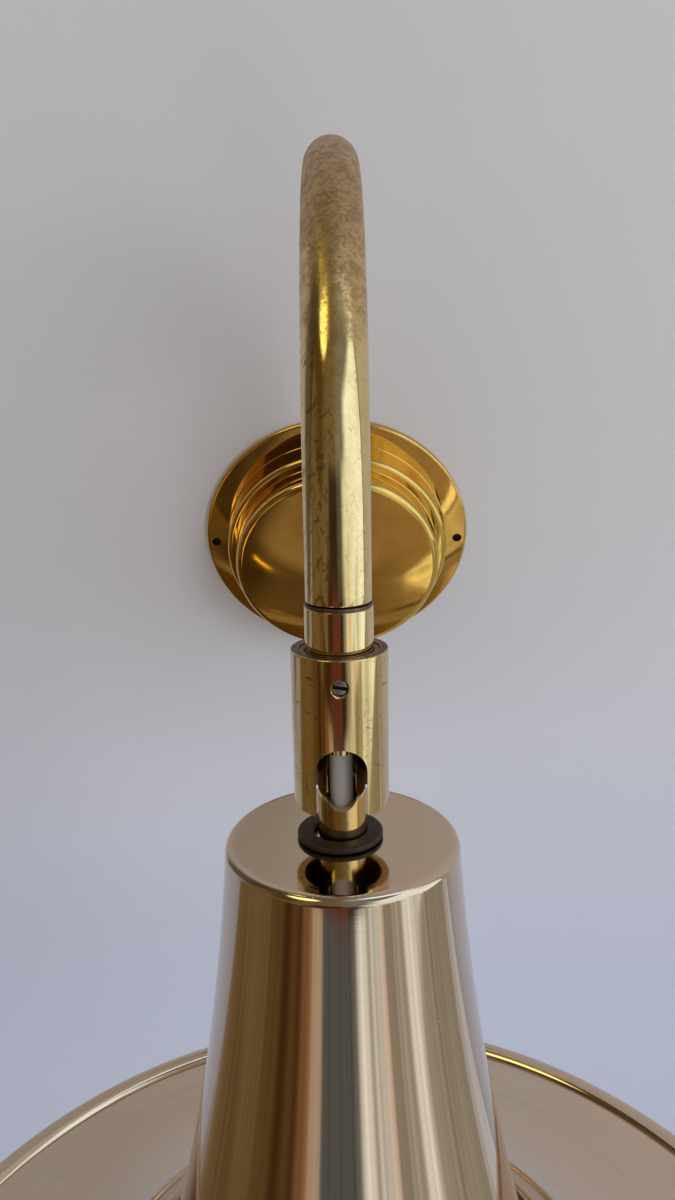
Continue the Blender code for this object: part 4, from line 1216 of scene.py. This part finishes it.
def room_light():
    """A studio all round: pale and dark upright panels beside the viewer, and a round yellow lamp."""
    world = bpy.data.worlds.new("studio")
    bpy.context.scene.world = world
    world.use_nodes = True
    made = Nodes(world.node_tree)
    made.tree.nodes.clear()
    direction = made.add("ShaderNodeTexCoord").outputs["Generated"]
    turn = made.math("ARCTAN2", made.axis(direction, 0), made.times(made.axis(direction, 1), -1.0))
    turn = made.math("MULTIPLY_ADD", turn, 1 / math.tau, 0.5)

    def ramp_of(stops):
        ramp = made.add("ShaderNodeValToRGB")
        ramp.color_ramp.interpolation = "LINEAR"
        elements = ramp.color_ramp.elements
        while len(elements) > 1:
            elements.remove(elements[-1])
        for index, (degrees, colour) in enumerate(stops):
            place = (degrees + 180) / 360
            element = elements[0] if index == 0 else elements.new(place)
            element.position = place
            element.color = (*colour, 1.0)
        made.link(turn, ramp.inputs[0])
        return ramp.outputs[0]

    def panels(bands):
        """One ramp for each side of straight ahead, because a ramp holds few stops."""
        stops = [(degrees, colour) for *azimuths, colour in bands for degrees in azimuths]
        left = [stop for stop in stops if stop[0] < 0]
        right = [stop for stop in stops if stop[0] >= 0]
        share = -left[-1][0] / (right[0][0] - left[-1][0])
        ahead = tuple(here + (there - here) * share for here, there in zip(left[-1][1], right[0][1]))
        left.append((0, ahead))
        right.insert(0, (-0.01, ahead))
        return made.mix(made.math("GREATER_THAN", turn, 0.5), ramp_of(left), ramp_of(right))

    colour = panels(FLOORWARD)
    for low, high, bands in LAYERS:
        low, high = math.sin(math.radians(low)), math.sin(math.radians(high))
        colour = made.mix(made.span(made.axis(direction, 2), low, high), colour, panels(bands))
    nearness = made.add("ShaderNodeVectorMath", operation="DOT_PRODUCT")
    made.link(direction, nearness.inputs[0])
    nearness.inputs[1].default_value = (
        math.sin(BULB_TURNED) * math.cos(BULB_RAISED),
        -math.cos(BULB_TURNED) * math.cos(BULB_RAISED),
        math.sin(BULB_RAISED),
    )
    edges = [math.cos(math.radians(degrees)) for degrees in BULB_WIDTH]
    colour = made.mix(made.span(nearness.outputs["Value"], *edges), colour, BULB_COLOUR)
    grain = made.add("ShaderNodeTexNoise", noise_dimensions="1D", Scale=1.0, Detail=4.0)
    made.link(made.times(turn, CLUTTER), grain.inputs["W"])
    shine = made.add("ShaderNodeBackground")
    made.link(colour, shine.inputs["Color"])
    stripes = made.math("MULTIPLY_ADD", grain.outputs[0], CLUTTER_CONTRAST, 1.0 - CLUTTER_CONTRAST / 2)
    made.link(stripes, shine.inputs["Strength"])
    made.link(shine.outputs[0], made.add("ShaderNodeOutputWorld").inputs["Surface"])


room_light()
# (name, place, aim, size, watts, colour, whether the brass mirrors it)
LAMPS = [
    ("key", (1.1, -1.2, 0.9), (0, -0.1, 0.05), 0.7, 6.5, (1.0, 0.96, 0.98), False),
    ("fill", (-0.9, -1.3, 0.9), (0, -0.1, 0.0), 1.2, 2.3, (1.0, 0.95, 1.0), False),
    ("low_sky", (0.2, -1.3, -0.55), (0, -0.1, -0.3), 1.2, 4.2, (0.80, 0.86, 1.0), False),
    ("wall_bulb", (-0.275, -0.02, 0.66), (-0.275, -1.0, 0.66), 0.10, 0.085, (1.0, 0.80, 0.03), True),
    ("skylight", (0.88, -0.02, 1.75), (0.88, -1.0, 1.75), 1.2, 10.5, (0.72, 0.95, 1.2), True),
]
for lamp in LAMPS:
    area_light(*lamp)
bpy.context.scene.view_settings.view_transform = "Standard"

EYE = (-0.0002, -0.3392, 0.2213)
LOOK_DOWN = 37.3
LEAN_LEFT = 1.0
LENS = 25.98
SENSOR = 36.0


def camera():
    """The viewer looks down past the arm at the canopy from close by, through a wide lens."""
    data = bpy.data.cameras.new("camera")
    data.lens = LENS
    data.sensor_width = SENSOR
    data.sensor_fit = "AUTO"
    data.clip_start = 0.01
    made = bpy.data.objects.new("camera", data)
    bpy.context.scene.collection.objects.link(made)
    pitch = Matrix.Rotation(math.radians(90 - LOOK_DOWN), 4, "X")
    roll = Matrix.Rotation(math.radians(-LEAN_LEFT), 4, "Z")
    made.matrix_world = Matrix.Translation(EYE) @ pitch @ roll
    bpy.context.scene.camera = made


camera()
